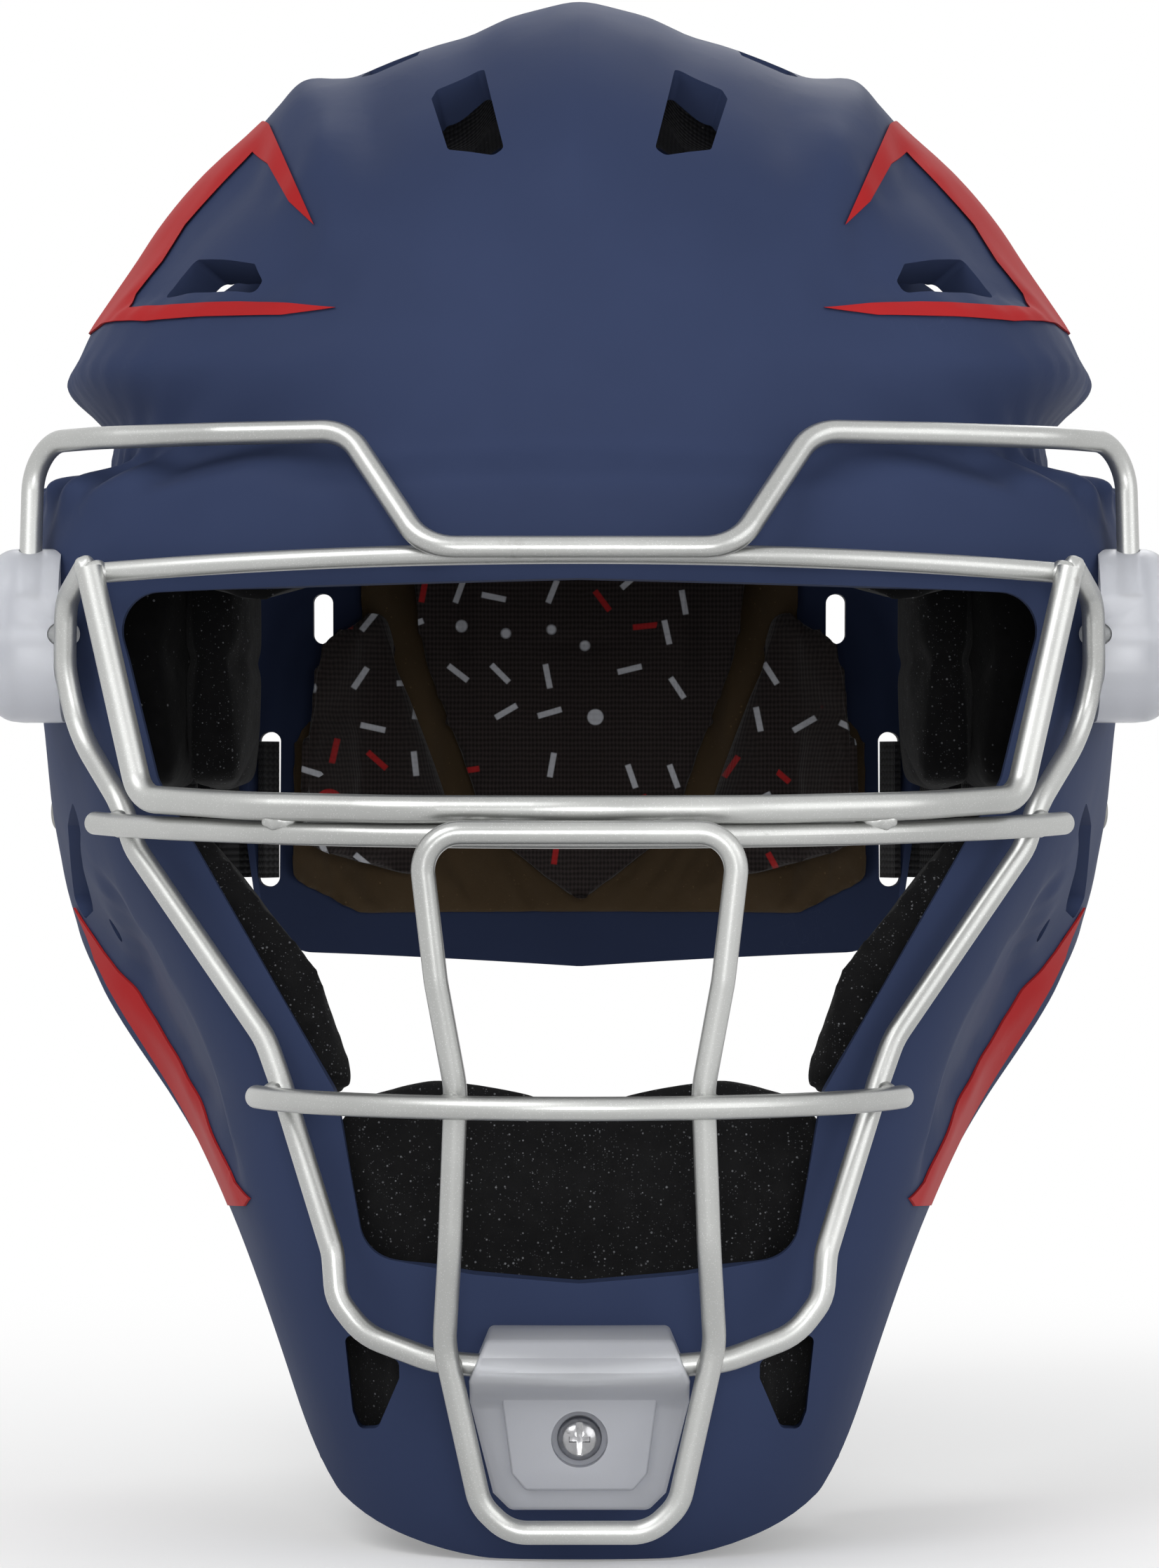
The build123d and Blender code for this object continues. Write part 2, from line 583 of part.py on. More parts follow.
with BuildPart() as side_clip_right:
    with BuildSketch(Plane.YZ.offset(side_clip_outer)):
        with Locations((SIDE_CLIP_AT[0] * shell_depth, SIDE_CLIP_AT[1] * shell_height)):
            RectangleRounded(side_clip_long, side_clip_tall, side_clip_corner)
    extrude(amount=-side_clip_thick)
    fillet(faces().sort_by(Axis.X)[-1].edges(), side_clip_round)
    add(layer(side_zone, -seat_gap, 4 * lip_depth), mode=Mode.SUBTRACT)
    for route in (cage_side_wire_route.line, cage_brow_wire_route.line):
        with BuildSketch(route_start(route)):
            Circle(bar_wire / 2 + hole_gap)
        sweep(path=route, mode=Mode.SUBTRACT)
    with BuildSketch(Plane(origin=peg_inner, z_dir=peg_outer - peg_inner)):
        Circle(bar_wire / 2 + hole_gap)
    extrude(amount=(peg_outer - peg_inner).length + hole_gap, mode=Mode.SUBTRACT)
    with BuildSketch(side_screw_plane):
        Circle(screw_recess / 2)
    extrude(amount=-screw_head_height, mode=Mode.SUBTRACT)
    with BuildSketch(side_screw_plane):
        Circle(screw_shank / 2 + hole_gap)
    extrude(amount=-overrun / 2, mode=Mode.SUBTRACT)
out(side_clip_right, "side_clip_right")

with BuildPart() as side_clip_left:
    mirror(side_clip_right.part, about=Plane.YZ)
out(side_clip_left, "side_clip_left")

with BuildPart() as chin_clip:
    with BuildSketch(Plane.YZ):
        with BuildLine():
            FilletPolyline(*side_view(CHIN_CLIP_SIDE_SHARES), radius=clip_round, close=True)
        make_face()
    extrude(amount=CHIN_CLIP_HALF_SHARE * shell_half_width, both=True)
    chin_half = front_view(CHIN_CLIP_FRONT_SHARES)
    with BuildSketch(Plane.XZ):
        with BuildLine():
            FilletPolyline(*chin_half, *[(-x, z) for x, z in chin_half[::-1]], radius=clip_round, close=True)
        make_face()
    extrude(amount=shell_depth, mode=Mode.INTERSECT)
    add(layer(chin_zone, -seat_gap, 3 * lip_depth), mode=Mode.SUBTRACT)
    with BuildSketch(route_start(cage_side_wire_route.line)):
        Circle(bar_wire / 2 + hole_gap)
    sweep(path=cage_side_wire_route.line, mode=Mode.SUBTRACT)
    with BuildSketch(chin_screw_plane):
        Circle(screw_recess / 2)
    extrude(amount=-screw_head_height, mode=Mode.SUBTRACT)
    with BuildSketch(chin_screw_plane):
        Circle(screw_shank / 2 + hole_gap)
    extrude(amount=-overrun / 2, mode=Mode.SUBTRACT)
out(chin_clip, "chin_clip")


def clip_screw(plane, length):
    """A truss head screw that stands on the floor of its recess and ends inside its nut."""
    seat = plane.offset(-screw_head_height)
    with BuildPart() as screw:
        with BuildSketch(seat):
            Circle(screw_head / 2)
        extrude(amount=screw_head_height)
        head_top = faces().filter_by(GeomType.PLANE).sort_by(Axis(seat.origin, seat.z_dir))[-1]
        fillet(head_top.edges(), screw_head_round)
        with BuildSketch(seat):
            Circle(screw_shank / 2)
        extrude(amount=-length)
        with BuildSketch(plane):
            Rectangle(drive_long, drive_wide)
            Rectangle(drive_wide, drive_short)
        extrude(amount=-drive_depth, mode=Mode.SUBTRACT)
    return screw.part


def tee_nut(plane, wall_zone, depth):
    """A flanged nut behind the wall; depth is how far its flange's back lies under the clip's face."""
    with BuildPart() as nut:
        with BuildSketch(plane.offset(-depth)):
            Circle(nut_flange / 2)
        extrude(amount=nut_flange_height + shell_wall)
        add(layer(wall_zone, -shell_wall, shell_wall + hole_gap), mode=Mode.SUBTRACT)
        with BuildSketch(plane.offset(-depth)):
            Circle(nut_barrel / 2)
        extrude(amount=nut_flange_height + shell_wall - 2 * hole_gap)
        with BuildSketch(plane.offset(-depth)):
            Circle(screw_shank / 2 + hole_gap / 2)
        extrude(amount=depth, mode=Mode.SUBTRACT)
    return nut.part


side_nut_depth = side_clip_outer - SIDE_WALL_SHARE * shell_half_width + shell_wall + 1.5 * nut_flange_height
chin_nut_depth = CHIN_WALL_SHARE * shell_depth - chin_face_y + shell_wall + 1.5 * nut_flange_height

with BuildPart() as side_clip_screws:
    add(clip_screw(side_screw_plane, side_nut_depth - screw_head_height + nut_flange_height))
    mirror(about=Plane.YZ)
out(side_clip_screws, "side_clip_screws")

with BuildPart() as chin_clip_screw:
    add(clip_screw(chin_screw_plane, chin_nut_depth - screw_head_height + nut_flange_height))
out(chin_clip_screw, "chin_clip_screw")

with BuildPart() as side_clip_nuts:
    add(tee_nut(side_screw_plane, side_zone, side_nut_depth))
    mirror(about=Plane.YZ)
out(side_clip_nuts, "side_clip_nuts")

with BuildPart() as chin_clip_nut:
    add(tee_nut(chin_screw_plane, chin_zone, chin_nut_depth))
out(chin_clip_nut, "chin_clip_nut")


# Pads inside the shell: each follows the wall and swells towards its middle
BROW_PAD_SHARES = (
    (0.78, 0.596), (0.78, 0.660), (0.62, 0.710), (0.50, 0.728), (-0.50, 0.728), (-0.62, 0.710),
    (-0.78, 0.660), (-0.78, 0.596), (-0.56, 0.576), (-0.30, 0.604), (0.30, 0.604), (0.56, 0.576),
)
TEMPLE_PAD_SHARES = ((-0.160, 0.465), (0.110, 0.465), (0.110, 0.600), (0.070, 0.645), (-0.130, 0.645),
                     (-0.160, 0.615))
JAW_PAD_SHARES = ((-0.455, 0.292), (-0.335, 0.250), (-0.198, 0.380), (-0.246, 0.452), (-0.397, 0.446))
CHIN_PAD_SHARES = (
    (0.50, 0.030), (0.50, 0.235), (0.390, 0.282), (0.250, 0.296), (0, 0.286), (-0.250, 0.296),
    (-0.390, 0.282), (-0.50, 0.235), (-0.50, 0.030),
)
CHIN_PAD_BACK_SHARE = 0.2
SIDE_BUCKLE_AT = (0.7458, 0.2083, 0.4518)
CROWN_PAD_SHARES = ((0.40, -0.15), (0.40, 0.20), (0.20, 0.26), (-0.20, 0.26), (-0.40, 0.20), (-0.40, -0.15))


def swollen(near, thick, outline, spot):
    """How deep a cushion's inner face lies; spot gives a skin point's place in the outline."""

    def far(point):
        swell = ease(0, pad_crown_run, inside(outline, *spot(point)))
        return near(point) + thick * (1 - pad_crown_share * (1 - swell))

    return far


def seat_depth(point):
    return wall_depth(point) + seat_gap


def brow_seat_depth(point):
    """The brow pad steps over the lip a little above it."""
    return wall_depth(point - Vector(0, 0, crisp_edge)) + 4 * seat_gap


def side_spot(point):
    return point.Y, point.Z


def front_spot(point):
    return point.X, point.Z


def top_spot(point):
    return point.X, point.Y


def prism(plane, outline):
    """What stands on an outline with rounded corners."""
    with BuildPart() as column:
        with BuildSketch(plane):
            with BuildLine():
                FilletPolyline(*outline, radius=pad_corner / 2, close=True)
            make_face()
        extrude(amount=2 * shell_height)
    return column.part


front_zone = zone(7.2, 12.2, -0.62, 0.62)
temple_zone = zone(6.2, 15.0, 0.55, 0.95)
jaw_zone = zone(2.4, 7.6, 0.3, 0.86)
chin_pad_zone = zone(0.2, 4.8, -0.78, 0.78)
crown_zone = zone(11, LAST_ROW, -0.8, 0.8)
brow_outline = front_view(BROW_PAD_SHARES)
chin_outline = front_view(CHIN_PAD_SHARES)
temple_outline = side_view(TEMPLE_PAD_SHARES)
jaw_outline = side_view(JAW_PAD_SHARES)
crown_outline = [(x * shell_half_width, y * shell_depth) for x, y in CROWN_PAD_SHARES]

with BuildPart() as brow_pad:
    add(layer(front_zone, brow_seat_depth, swollen(brow_seat_depth, brow_foam, brow_outline, front_spot)))
    add(prism(Plane.XZ, brow_outline), mode=Mode.INTERSECT)
out(brow_pad, "brow_pad")

with BuildPart() as chin_pad:
    add(layer(chin_pad_zone, seat_depth, swollen(seat_depth, chin_foam, chin_outline, front_spot)))
    add(prism(Plane.XZ.offset(CHIN_PAD_BACK_SHARE * shell_depth), chin_outline), mode=Mode.INTERSECT)
    with BuildSketch(chin_screw_plane.offset(-chin_nut_depth - 2 * nut_flange_height)):
        Circle(nut_flange / 2 + nut_flange_height)
    extrude(amount=chin_nut_depth, mode=Mode.SUBTRACT)
out(chin_pad, "chin_pad")

with BuildPart() as crown_pad:
    add(layer(crown_zone, seat_depth, swollen(seat_depth, crown_foam, crown_outline, top_spot)))
    add(prism(Plane.XY, crown_outline), mode=Mode.INTERSECT)
out(crown_pad, "crown_pad")

with BuildPart() as jaw_pad_right:
    add(layer(jaw_zone, seat_depth, swollen(seat_depth, jaw_foam, jaw_outline, side_spot)))
    add(prism(Plane.YZ, jaw_outline), mode=Mode.INTERSECT)
out(jaw_pad_right, "jaw_pad_right")

with BuildPart() as jaw_pad_left:
    mirror(jaw_pad_right.part, about=Plane.YZ)
out(jaw_pad_left, "jaw_pad_left")

with BuildPart() as temple_liner_right:
    with BuildSketch(Plane.YZ.offset(temple_liner_x)):
        with BuildLine():
            FilletPolyline(*temple_outline, radius=pad_corner, close=True)
        make_face()
    extrude(amount=shell_half_width - temple_liner_x)
    fillet(faces().sort_by(Axis.X)[0].edges(), temple_round)
    with BuildSketch(Plane.YZ.offset(strap_room_x)):
        with Locations((0, SIDE_BUCKLE_AT[2] * shell_height)):
            Rectangle(shell_depth, side_strap_wide + strap_slot_wide)
    extrude(amount=overrun, mode=Mode.SUBTRACT)
    add(layer(temple_zone, -lip_depth, seat_depth), mode=Mode.SUBTRACT)
out(temple_liner_right, "temple_liner_right")

with BuildPart() as temple_liner_left:
    mirror(temple_liner_right.part, about=Plane.YZ)
out(temple_liner_left, "temple_liner_left")

with BuildPart() as temple_pad_right:
    with BuildSketch(Plane.YZ.offset(temple_pad_x)):
        with BuildLine():
            FilletPolyline(*temple_outline, radius=pad_corner, close=True)
        make_face()
    extrude(amount=temple_liner_x - seat_gap - temple_pad_x)
    fillet(faces().sort_by(Axis.X)[0].edges(), temple_round)
    add(layer(temple_zone, -lip_depth, seat_depth), mode=Mode.SUBTRACT)
out(temple_pad_right, "temple_pad_right")

with BuildPart() as temple_pad_left:
    mirror(temple_pad_right.part, about=Plane.YZ)
out(temple_pad_left, "temple_pad_left")


# Back plate: a curved panel behind the head, hung on the shell by elastic straps
PLATE_LEVELS = (
    # height, half width, and how far back its edge and its middle lie
    (0.335, 0.640, 0.270, 0.415),
    (0.450, 0.680, 0.240, 0.458),
    (0.572, 0.700, 0.225, 0.474),
    (0.690, 0.620, 0.255, 0.462),
    (0.820, 0.430, 0.330, 0.400),
)
PLATE_SHARES = (
    (0.560, 0.350), (0.640, 0.372), (0.680, 0.480), (0.690, 0.572), (0.560, 0.715), (0.360, 0.788),
    (-0.360, 0.788), (-0.560, 0.715), (-0.690, 0.572), (-0.680, 0.480), (-0.640, 0.372),
    (-0.560, 0.350), (0, 0.337),
)
PLATE_SLOT_AT = (0.520, 0.589)
STRAP_SLOT_AT = (0.6185, 0.452)
TOP_SLOT_Z_SHARE = 0.772
REAR_BASE_SHARES = (
    (0.440, 0.374), (0.575, 0.400), (0.570, 0.505), (0.460, 0.560), (0.440, 0.690), (-0.440, 0.690),
    (-0.460, 0.560), (-0.570, 0.505), (-0.575, 0.400), (-0.440, 0.374),
)
REAR_CENTRE_SHARES = (
    (0, 0.378), (0.200, 0.430), (0.330, 0.560), (0.372, 0.680), (-0.372, 0.680), (-0.330, 0.560),
    (-0.200, 0.430),
)
REAR_SIDE_SHARES = (
    (0.235, 0.432), (0.330, 0.398), (0.540, 0.420), (0.545, 0.500), (0.520, 0.575), (0.390, 0.605),
    (0.362, 0.560),
)


def plate_row(place):
    """One level of the back plate's outer face: an arc from edge to edge."""
    steps = range(len(PLATE_LEVELS))
    height, half, edge, middle = (through(steps, column, place) for column in zip(*PLATE_LEVELS))
    half, rise = half * shell_half_width, (middle - edge) * shell_depth
    radius = (half**2 + rise**2) / (2 * rise)
    return radius, math.asin(half / radius), middle * shell_depth - radius, height * shell_height


def plate_skin(rows, columns):
    """Rows of points on the back plate's outer face, each with the direction that faces out there."""
    lines = []
    for i in range(rows):
        place = (len(PLATE_LEVELS) - 1) * i / (rows - 1)
        radius, turn, middle, height = plate_row(place)
        turns = [turn * (2 * j / (columns - 1) - 1) for j in range(columns)]
        outwards = [Vector(math.sin(a), math.cos(a), 0) for a in turns]
        lines.append([(Vector(0, middle, height) + outward * radius, outward) for outward in outwards])
    return lines


plate_lines = plate_skin(22, 31)
rear_plane = Plane.XZ.offset(-shell_depth)

with BuildPart() as back_plate:
    add(layer(plate_lines, 0, plate_wall))
    with BuildSketch(rear_plane):
        with BuildLine():
            FilletPolyline(*front_view(PLATE_SHARES), radius=plate_corner, close=True)
        make_face()
        for side in (1, -1):
            with Locations((side * PLATE_SLOT_AT[0] * shell_half_width, PLATE_SLOT_AT[1] * shell_height)):
                SlotOverall(plate_slot_tall, plate_slot_wide, rotation=90, mode=Mode.SUBTRACT)
            with Locations((side * STRAP_SLOT_AT[0] * shell_half_width, STRAP_SLOT_AT[1] * shell_height)):
                slot_long = side_strap_wide + plate_slot_wide
                SlotOverall(slot_long, plate_slot_wide, rotation=90, mode=Mode.SUBTRACT)
        with Locations((0, TOP_SLOT_Z_SHARE * shell_height)):
            SlotOverall(top_strap_wide + plate_slot_wide, plate_slot_wide, mode=Mode.SUBTRACT)
    extrude(amount=shell_depth, mode=Mode.INTERSECT, clean=False)
out(back_plate, "back_plate")


def plate_seat(point):
    return plate_wall + seat_gap


def base_seat(point):
    return plate_seat(point) + rear_base_foam + seat_gap


rear_base_outline = front_view(REAR_BASE_SHARES)
rear_centre_outline = front_view(REAR_CENTRE_SHARES)
rear_side_outline = front_view(REAR_SIDE_SHARES)

with BuildPart() as rear_pad_base:
    add(layer(plate_lines, plate_seat, swollen(plate_seat, rear_base_foam, rear_base_outline, front_spot)))
    add(prism(rear_plane, rear_base_outline), mode=Mode.INTERSECT)
out(rear_pad_base, "rear_pad_base")

with BuildPart() as rear_pad_centre:
    add(layer(plate_lines, base_seat, swollen(base_seat, rear_foam, rear_centre_outline, front_spot)))
    add(prism(rear_plane, rear_centre_outline), mode=Mode.INTERSECT)
out(rear_pad_centre, "rear_pad_centre")

with BuildPart() as rear_pad_right:
    add(layer(plate_lines, base_seat, swollen(base_seat, rear_foam, rear_side_outline, front_spot)))
    add(prism(rear_plane, rear_side_outline), mode=Mode.INTERSECT)
out(rear_pad_right, "rear_pad_right")

with BuildPart() as rear_pad_left:
    mirror(rear_pad_right.part, about=Plane.YZ)
out(rear_pad_left, "rear_pad_left")


# Straps: elastic bands that are riveted to the shell, folded round their buckles and looped through the plate
SIDE_STRAP_FRONT_SHARES = (
    (0.8559, -0.1349), (0.9288, 0.0159), (0.8432, 0.1750),
)
SIDE_STRAP_REAR_SHARES = (
    (0.6746, 0.2746), (0.6178, 0.3214), (0.6051, 0.2627), (0.6322, 0.2405),
)
TOP_STRAP_FRONT_SHARES = (
    (0.3313, 0.9169), (0.3722, 0.8843),
)
TOP_STRAP_REAR_SHARES = (
    (0.4202, 0.7967), (0.4321, 0.7720), (0.4008, 0.7720), (0.3889, 0.7967),
)
SIDE_BUCKLE_FACING = (0.718, 0.696, 0)
TOP_BUCKLE_AT = (0, 0.3877, 0.8373)
TOP_BUCKLE_FACING = (0, 0.921, 0.390)
STRAP_TAIL_SHARES = (0.55, 0.85)      # how long the folded ends are, in buckle lengths
side_buckle_plane = Plane(origin=at(*SIDE_BUCKLE_AT), x_dir=(0, 0, -1), z_dir=SIDE_BUCKLE_FACING)
top_buckle_plane = Plane(origin=at(*TOP_BUCKLE_AT), x_dir=(1, 0, 0), z_dir=TOP_BUCKLE_FACING)
fold = buckle_bar / 2 + hole_gap + strap_thick / 2


def folded(plane, end, tail):
    """The fold of a strap round a buckle's bar, from outer run to tail; end is -1 or 1 along the strap."""
    places = ((buckle_slot_at, fold), (buckle_slot_at, -fold), (tail * buckle_long, -fold))
    return [plane.from_local_coords(Vector(0, end * along, height)) for along, height in places]


def strap(points, radii, wide):
    with BuildPart() as band:
        with BuildLine() as route:
            FilletPolyline(*points, radius=radii)
        across = Vector(0, 0, 1) if abs(points[0].X) > 0 else Vector(1, 0, 0)
        with BuildSketch(Plane(origin=route.line @ 0, x_dir=across, z_dir=route.line % 0)):
            Rectangle(wide, strap_thick)
        sweep(path=route.line)
    return band.part


def rivet_hole(place, facing):
    with BuildPart() as hole:
        with BuildSketch(Plane(origin=at(*place), z_dir=facing)):
            Circle(rivet_shank / 2 + hole_gap)
        extrude(amount=-2 * rivet_reach)
    return hole.part


side_front_run = [at(x, y, SIDE_BUCKLE_AT[2]) for x, y in SIDE_STRAP_FRONT_SHARES]
side_rear_run = [at(x, y, SIDE_BUCKLE_AT[2]) for x, y in SIDE_STRAP_REAR_SHARES]
top_front_run = [at(0, y, z) for y, z in TOP_STRAP_FRONT_SHARES]
top_rear_run = [at(0, y, z) for y, z in TOP_STRAP_REAR_SHARES]
fold_bends = [strap_bend, strap_bend]

with BuildPart() as side_straps_front:
    points = side_front_run + folded(side_buckle_plane, -1, STRAP_TAIL_SHARES[1])
    add(strap(points, [strap_curve, strap_curve / 3] + fold_bends, side_strap_wide))
    add(rivet_hole(SIDE_RIVET_AT, SIDE_RIVET_FACING), mode=Mode.SUBTRACT)
    mirror(about=Plane.YZ)
out(side_straps_front, "side_straps_front")

with BuildPart() as side_straps_rear:
    points = folded(side_buckle_plane, 1, STRAP_TAIL_SHARES[0])[::-1] + side_rear_run
    add(strap(points, fold_bends + [strap_curve / 3, strap_bend, strap_bend], side_strap_wide))
    mirror(about=Plane.YZ)
out(side_straps_rear, "side_straps_rear")

with BuildPart() as top_strap_front:
    points = top_front_run + folded(top_buckle_plane, -1, STRAP_TAIL_SHARES[1])
    add(strap(points, [strap_curve / 3] + fold_bends, top_strap_wide))
    add(rivet_hole(TOP_RIVET_AT, TOP_RIVET_FACING), mode=Mode.SUBTRACT)
out(top_strap_front, "top_strap_front")

with BuildPart() as top_strap_rear:
    points = folded(top_buckle_plane, 1, STRAP_TAIL_SHARES[0])[::-1] + top_rear_run
    add(strap(points, fold_bends + [strap_curve / 3, strap_bend, strap_bend], top_strap_wide))
out(top_strap_rear, "top_strap_rear")


def buckle(plane, strap_wide):
    with BuildPart() as frame:
        with BuildSketch(plane):
            RectangleRounded(strap_wide + 2 * buckle_bar, buckle_long, buckle_bar / 2)
            with Locations((0, buckle_slot_at), (0, -buckle_slot_at)):
                Rectangle(strap_wide + 5 * hole_gap, buckle_slot, mode=Mode.SUBTRACT)
        extrude(amount=buckle_bar / 2, both=True)
    return frame.part


with BuildPart() as side_strap_buckles:
    add(buckle(side_buckle_plane, side_strap_wide))
    mirror(about=Plane.YZ)
out(side_strap_buckles, "side_strap_buckles")

with BuildPart() as top_strap_buckle:
    add(buckle(top_buckle_plane, top_strap_wide))
out(top_strap_buckle, "top_strap_buckle")


def rivet(place, facing):
    skin_plane = Plane(origin=at(*place), z_dir=facing)
    with BuildPart() as fastener:
        with BuildSketch(skin_plane.offset(hole_gap)):
            Circle(rivet_head / 2)
        extrude(amount=rivet_head_height)
        head_top = faces().filter_by(GeomType.PLANE).sort_by(Axis(skin_plane.origin, skin_plane.z_dir))[-1]
        fillet(head_top.edges(), rivet_head_height / 2)
        with BuildSketch(skin_plane.offset(hole_gap)):
            Circle(rivet_shank / 2)
        extrude(amount=-rivet_reach - hole_gap)
        with BuildSketch(skin_plane.offset(-rivet_reach)):
            Circle(rivet_head / 2)
        extrude(amount=-rivet_foot_height)
    return fastener.part


with BuildPart() as side_strap_rivets:
    add(rivet(SIDE_RIVET_AT, SIDE_RIVET_FACING))
    mirror(about=Plane.YZ)
out(side_strap_rivets, "side_strap_rivets")

with BuildPart() as top_strap_rivet:
    add(rivet(TOP_RIVET_AT, TOP_RIVET_FACING))
out(top_strap_rivet, "top_strap_rivet")


# Stripes: thin films bonded on the skin
CROWN_STRIPE_SHARES = (
    (0.6136, 0.9187), (0.5678, 0.8988), (0.5381, 0.8756), (0.4644, 0.8172), (0.5127, 0.8349),
    (0.5602, 0.8657), (0.5975, 0.8801), (0.7169, 0.8313), (0.7542, 0.8057), (0.8000, 0.7840),
    (0.8068, 0.7732), (0.7314, 0.7705), (0.5932, 0.7690), (0.5042, 0.7663), (0.4220, 0.7627),
    (0.5169, 0.7587), (0.6517, 0.7602), (0.7678, 0.7608), (0.9203, 0.7699), (0.9305, 0.7771),
    (0.9178, 0.7907), (0.8983, 0.8087), (0.8644, 0.8283), (0.7847, 0.8560), (0.7051, 0.8795),
    (0.6356, 0.9111),
)
JAW_STRIPE_SHARES = (
    (-0.0119, 0.3870), (-0.0476, 0.3584), (-0.1429, 0.3102), (-0.2381, 0.2651), (-0.3373, 0.2214),
    (-0.3849, 0.2139), (-0.3611, 0.2078), (-0.2024, 0.1988), (-0.1111, 0.2756), (-0.0159, 0.3524),
)
CROWN_STRIPE_BACK_SHARE = 0.024

with BuildPart() as crown_stripes:
    add(layer(zone(7, 17, 0, 1), -film_gap - stripe_film, -film_gap))
    with BuildSketch(Plane.XZ.offset(-CROWN_STRIPE_BACK_SHARE * shell_depth)):
        with BuildLine():
            Polyline(*front_view(CROWN_STRIPE_SHARES), close=True)
        make_face()
    extrude(amount=shell_depth, mode=Mode.INTERSECT, clean=False)
    mirror(about=Plane.YZ)
out(crown_stripes, "crown_stripes")

with BuildPart() as jaw_stripes:
    add(layer(zone(1, 9.5, 0, 1), -film_gap - stripe_film, -film_gap))
    with BuildSketch(Plane.YZ):
        with BuildLine():
            Polyline(*side_view(JAW_STRIPE_SHARES), close=True)
        make_face()
    extrude(amount=2 * shell_half_width, mode=Mode.INTERSECT, clean=False)
    mirror(about=Plane.YZ)
out(jaw_stripes, "jaw_stripes")
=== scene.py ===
import math

import bpy
from mathutils import Matrix, Vector


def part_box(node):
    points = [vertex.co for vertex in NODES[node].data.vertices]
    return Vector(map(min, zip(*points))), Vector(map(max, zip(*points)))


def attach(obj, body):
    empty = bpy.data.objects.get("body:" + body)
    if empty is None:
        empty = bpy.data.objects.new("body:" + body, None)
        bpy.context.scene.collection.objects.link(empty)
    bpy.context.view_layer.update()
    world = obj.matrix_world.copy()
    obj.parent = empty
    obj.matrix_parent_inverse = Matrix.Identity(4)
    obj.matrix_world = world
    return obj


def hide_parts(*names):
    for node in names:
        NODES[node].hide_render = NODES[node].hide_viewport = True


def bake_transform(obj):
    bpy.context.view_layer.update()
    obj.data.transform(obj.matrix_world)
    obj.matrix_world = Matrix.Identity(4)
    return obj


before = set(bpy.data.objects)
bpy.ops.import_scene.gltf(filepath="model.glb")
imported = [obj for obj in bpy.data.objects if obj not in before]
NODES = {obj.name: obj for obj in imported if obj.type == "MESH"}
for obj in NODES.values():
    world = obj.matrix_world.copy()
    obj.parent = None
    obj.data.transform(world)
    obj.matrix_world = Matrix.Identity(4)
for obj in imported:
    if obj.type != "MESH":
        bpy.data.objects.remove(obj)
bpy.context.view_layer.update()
MM = 0.001
# Points of a CAD mesh that lie closer than this, in millimetres, are one
MERGE_REACH = 0.02

bl_info = {
    "name": "Catcher Helmet",
    "version": (1, 0, 0),
    "blender": (4, 5, 0),
    "location": "3D View > Sidebar > Helmet",
    "description": "Finishes a catcher helmet with a wire cage and lights it in a plain studio",
    "category": "Object",
}


# Sizes and colours that a user would change

def tint(name, description, red, green, blue):
    """A colour property; its default is given in display values from 0 to 255."""
    linear = [(part / 255 / 12.92) if part <= 10 else ((part / 255 + 0.055) / 1.055) ** 2.4
              for part in (red, green, blue)]
    return bpy.props.FloatVectorProperty(
        name=name, description=description, subtype="COLOR", size=3, min=0, max=1, default=linear)


def length(name, description, millimetres):
    return bpy.props.FloatProperty(
        name=name, description=description, unit="LENGTH", precision=5, min=0, default=millimetres * MM)


def share(name, description, default, most=1):
    return bpy.props.FloatProperty(name=name, description=description, min=0, max=most, default=default)


class HelmetColours(bpy.types.PropertyGroup):
    shell: tint("Shell", "Navy of the moulded shell and the back plate", 54, 64, 93)
    stripe: tint("Stripes", "Red of the bonded films", 176, 44, 46)
    wire: tint("Wire", "Silver paint of the cage", 190, 191, 189)
    clip: tint("Clips", "Clear plastic of the clips", 222, 224, 230)
    bright: tint("Screws", "Bright plating of the screws", 172, 172, 174)
    zinc: tint("Nuts", "Plating of the nuts and rivets", 150, 150, 148)
    foam: tint("Black foam", "Ground colour of the speckled foam", 15, 15, 16)
    speck: tint("Specks", "Pale specks in the black foam", 104, 105, 108)
    knit: tint("Cover", "Knitted cover of the brow and crown pads", 34, 34, 38)
    liner: tint("Liner", "Ground colour of the printed liner", 44, 38, 37)
    mark_pale: tint("Pale marks", "Pale marks on the liner", 196, 198, 204)
    mark_red: tint("Red marks", "Red marks on the liner", 170, 34, 36)
    olive: tint("Brown foam", "Brown-green foam of the rear base pad", 74, 60, 42)
    elastic: tint("Elastic", "Black of the straps", 24, 24, 26)
    floor: tint("Floor", "Plain pale floor", 240, 240, 240)


class HelmetSizes(bpy.types.PropertyGroup):
    edge: length("Moulded edge", "Rounding on the edges of the plastic", 0.7)
    weld: length("Weld bead", "Half thickness of a weld bead on the cage", 2.5)
    foam_shrink: length("Pad inset", "How much smaller a thick pad starts before it swells", 1.3)
    thin_shrink: length("Thin pad inset", "How much smaller a thin pad starts before it swells", 0.5)
    wall_swell: length("Swell at the wall", "How far a pad may swell towards what it lies on", 1.0)
    free_swell: length("Swell on the free side", "How far a pad may swell towards the head", 3.4)
    channel: length("Channel depth", "Depth of the sewn channels in the pads", 1.8)
    rib: length("Elastic rib", "Distance from rib to rib on the straps", 1.5)
    knit: length("Knit pitch", "Distance from stitch to stitch of the knitted covers", 0.9)
    speck: length("Speck spacing", "Distance from speck to speck in the foam", 0.95)
    mark: length("Mark spacing", "Distance from mark to mark on the liner", 10.5)


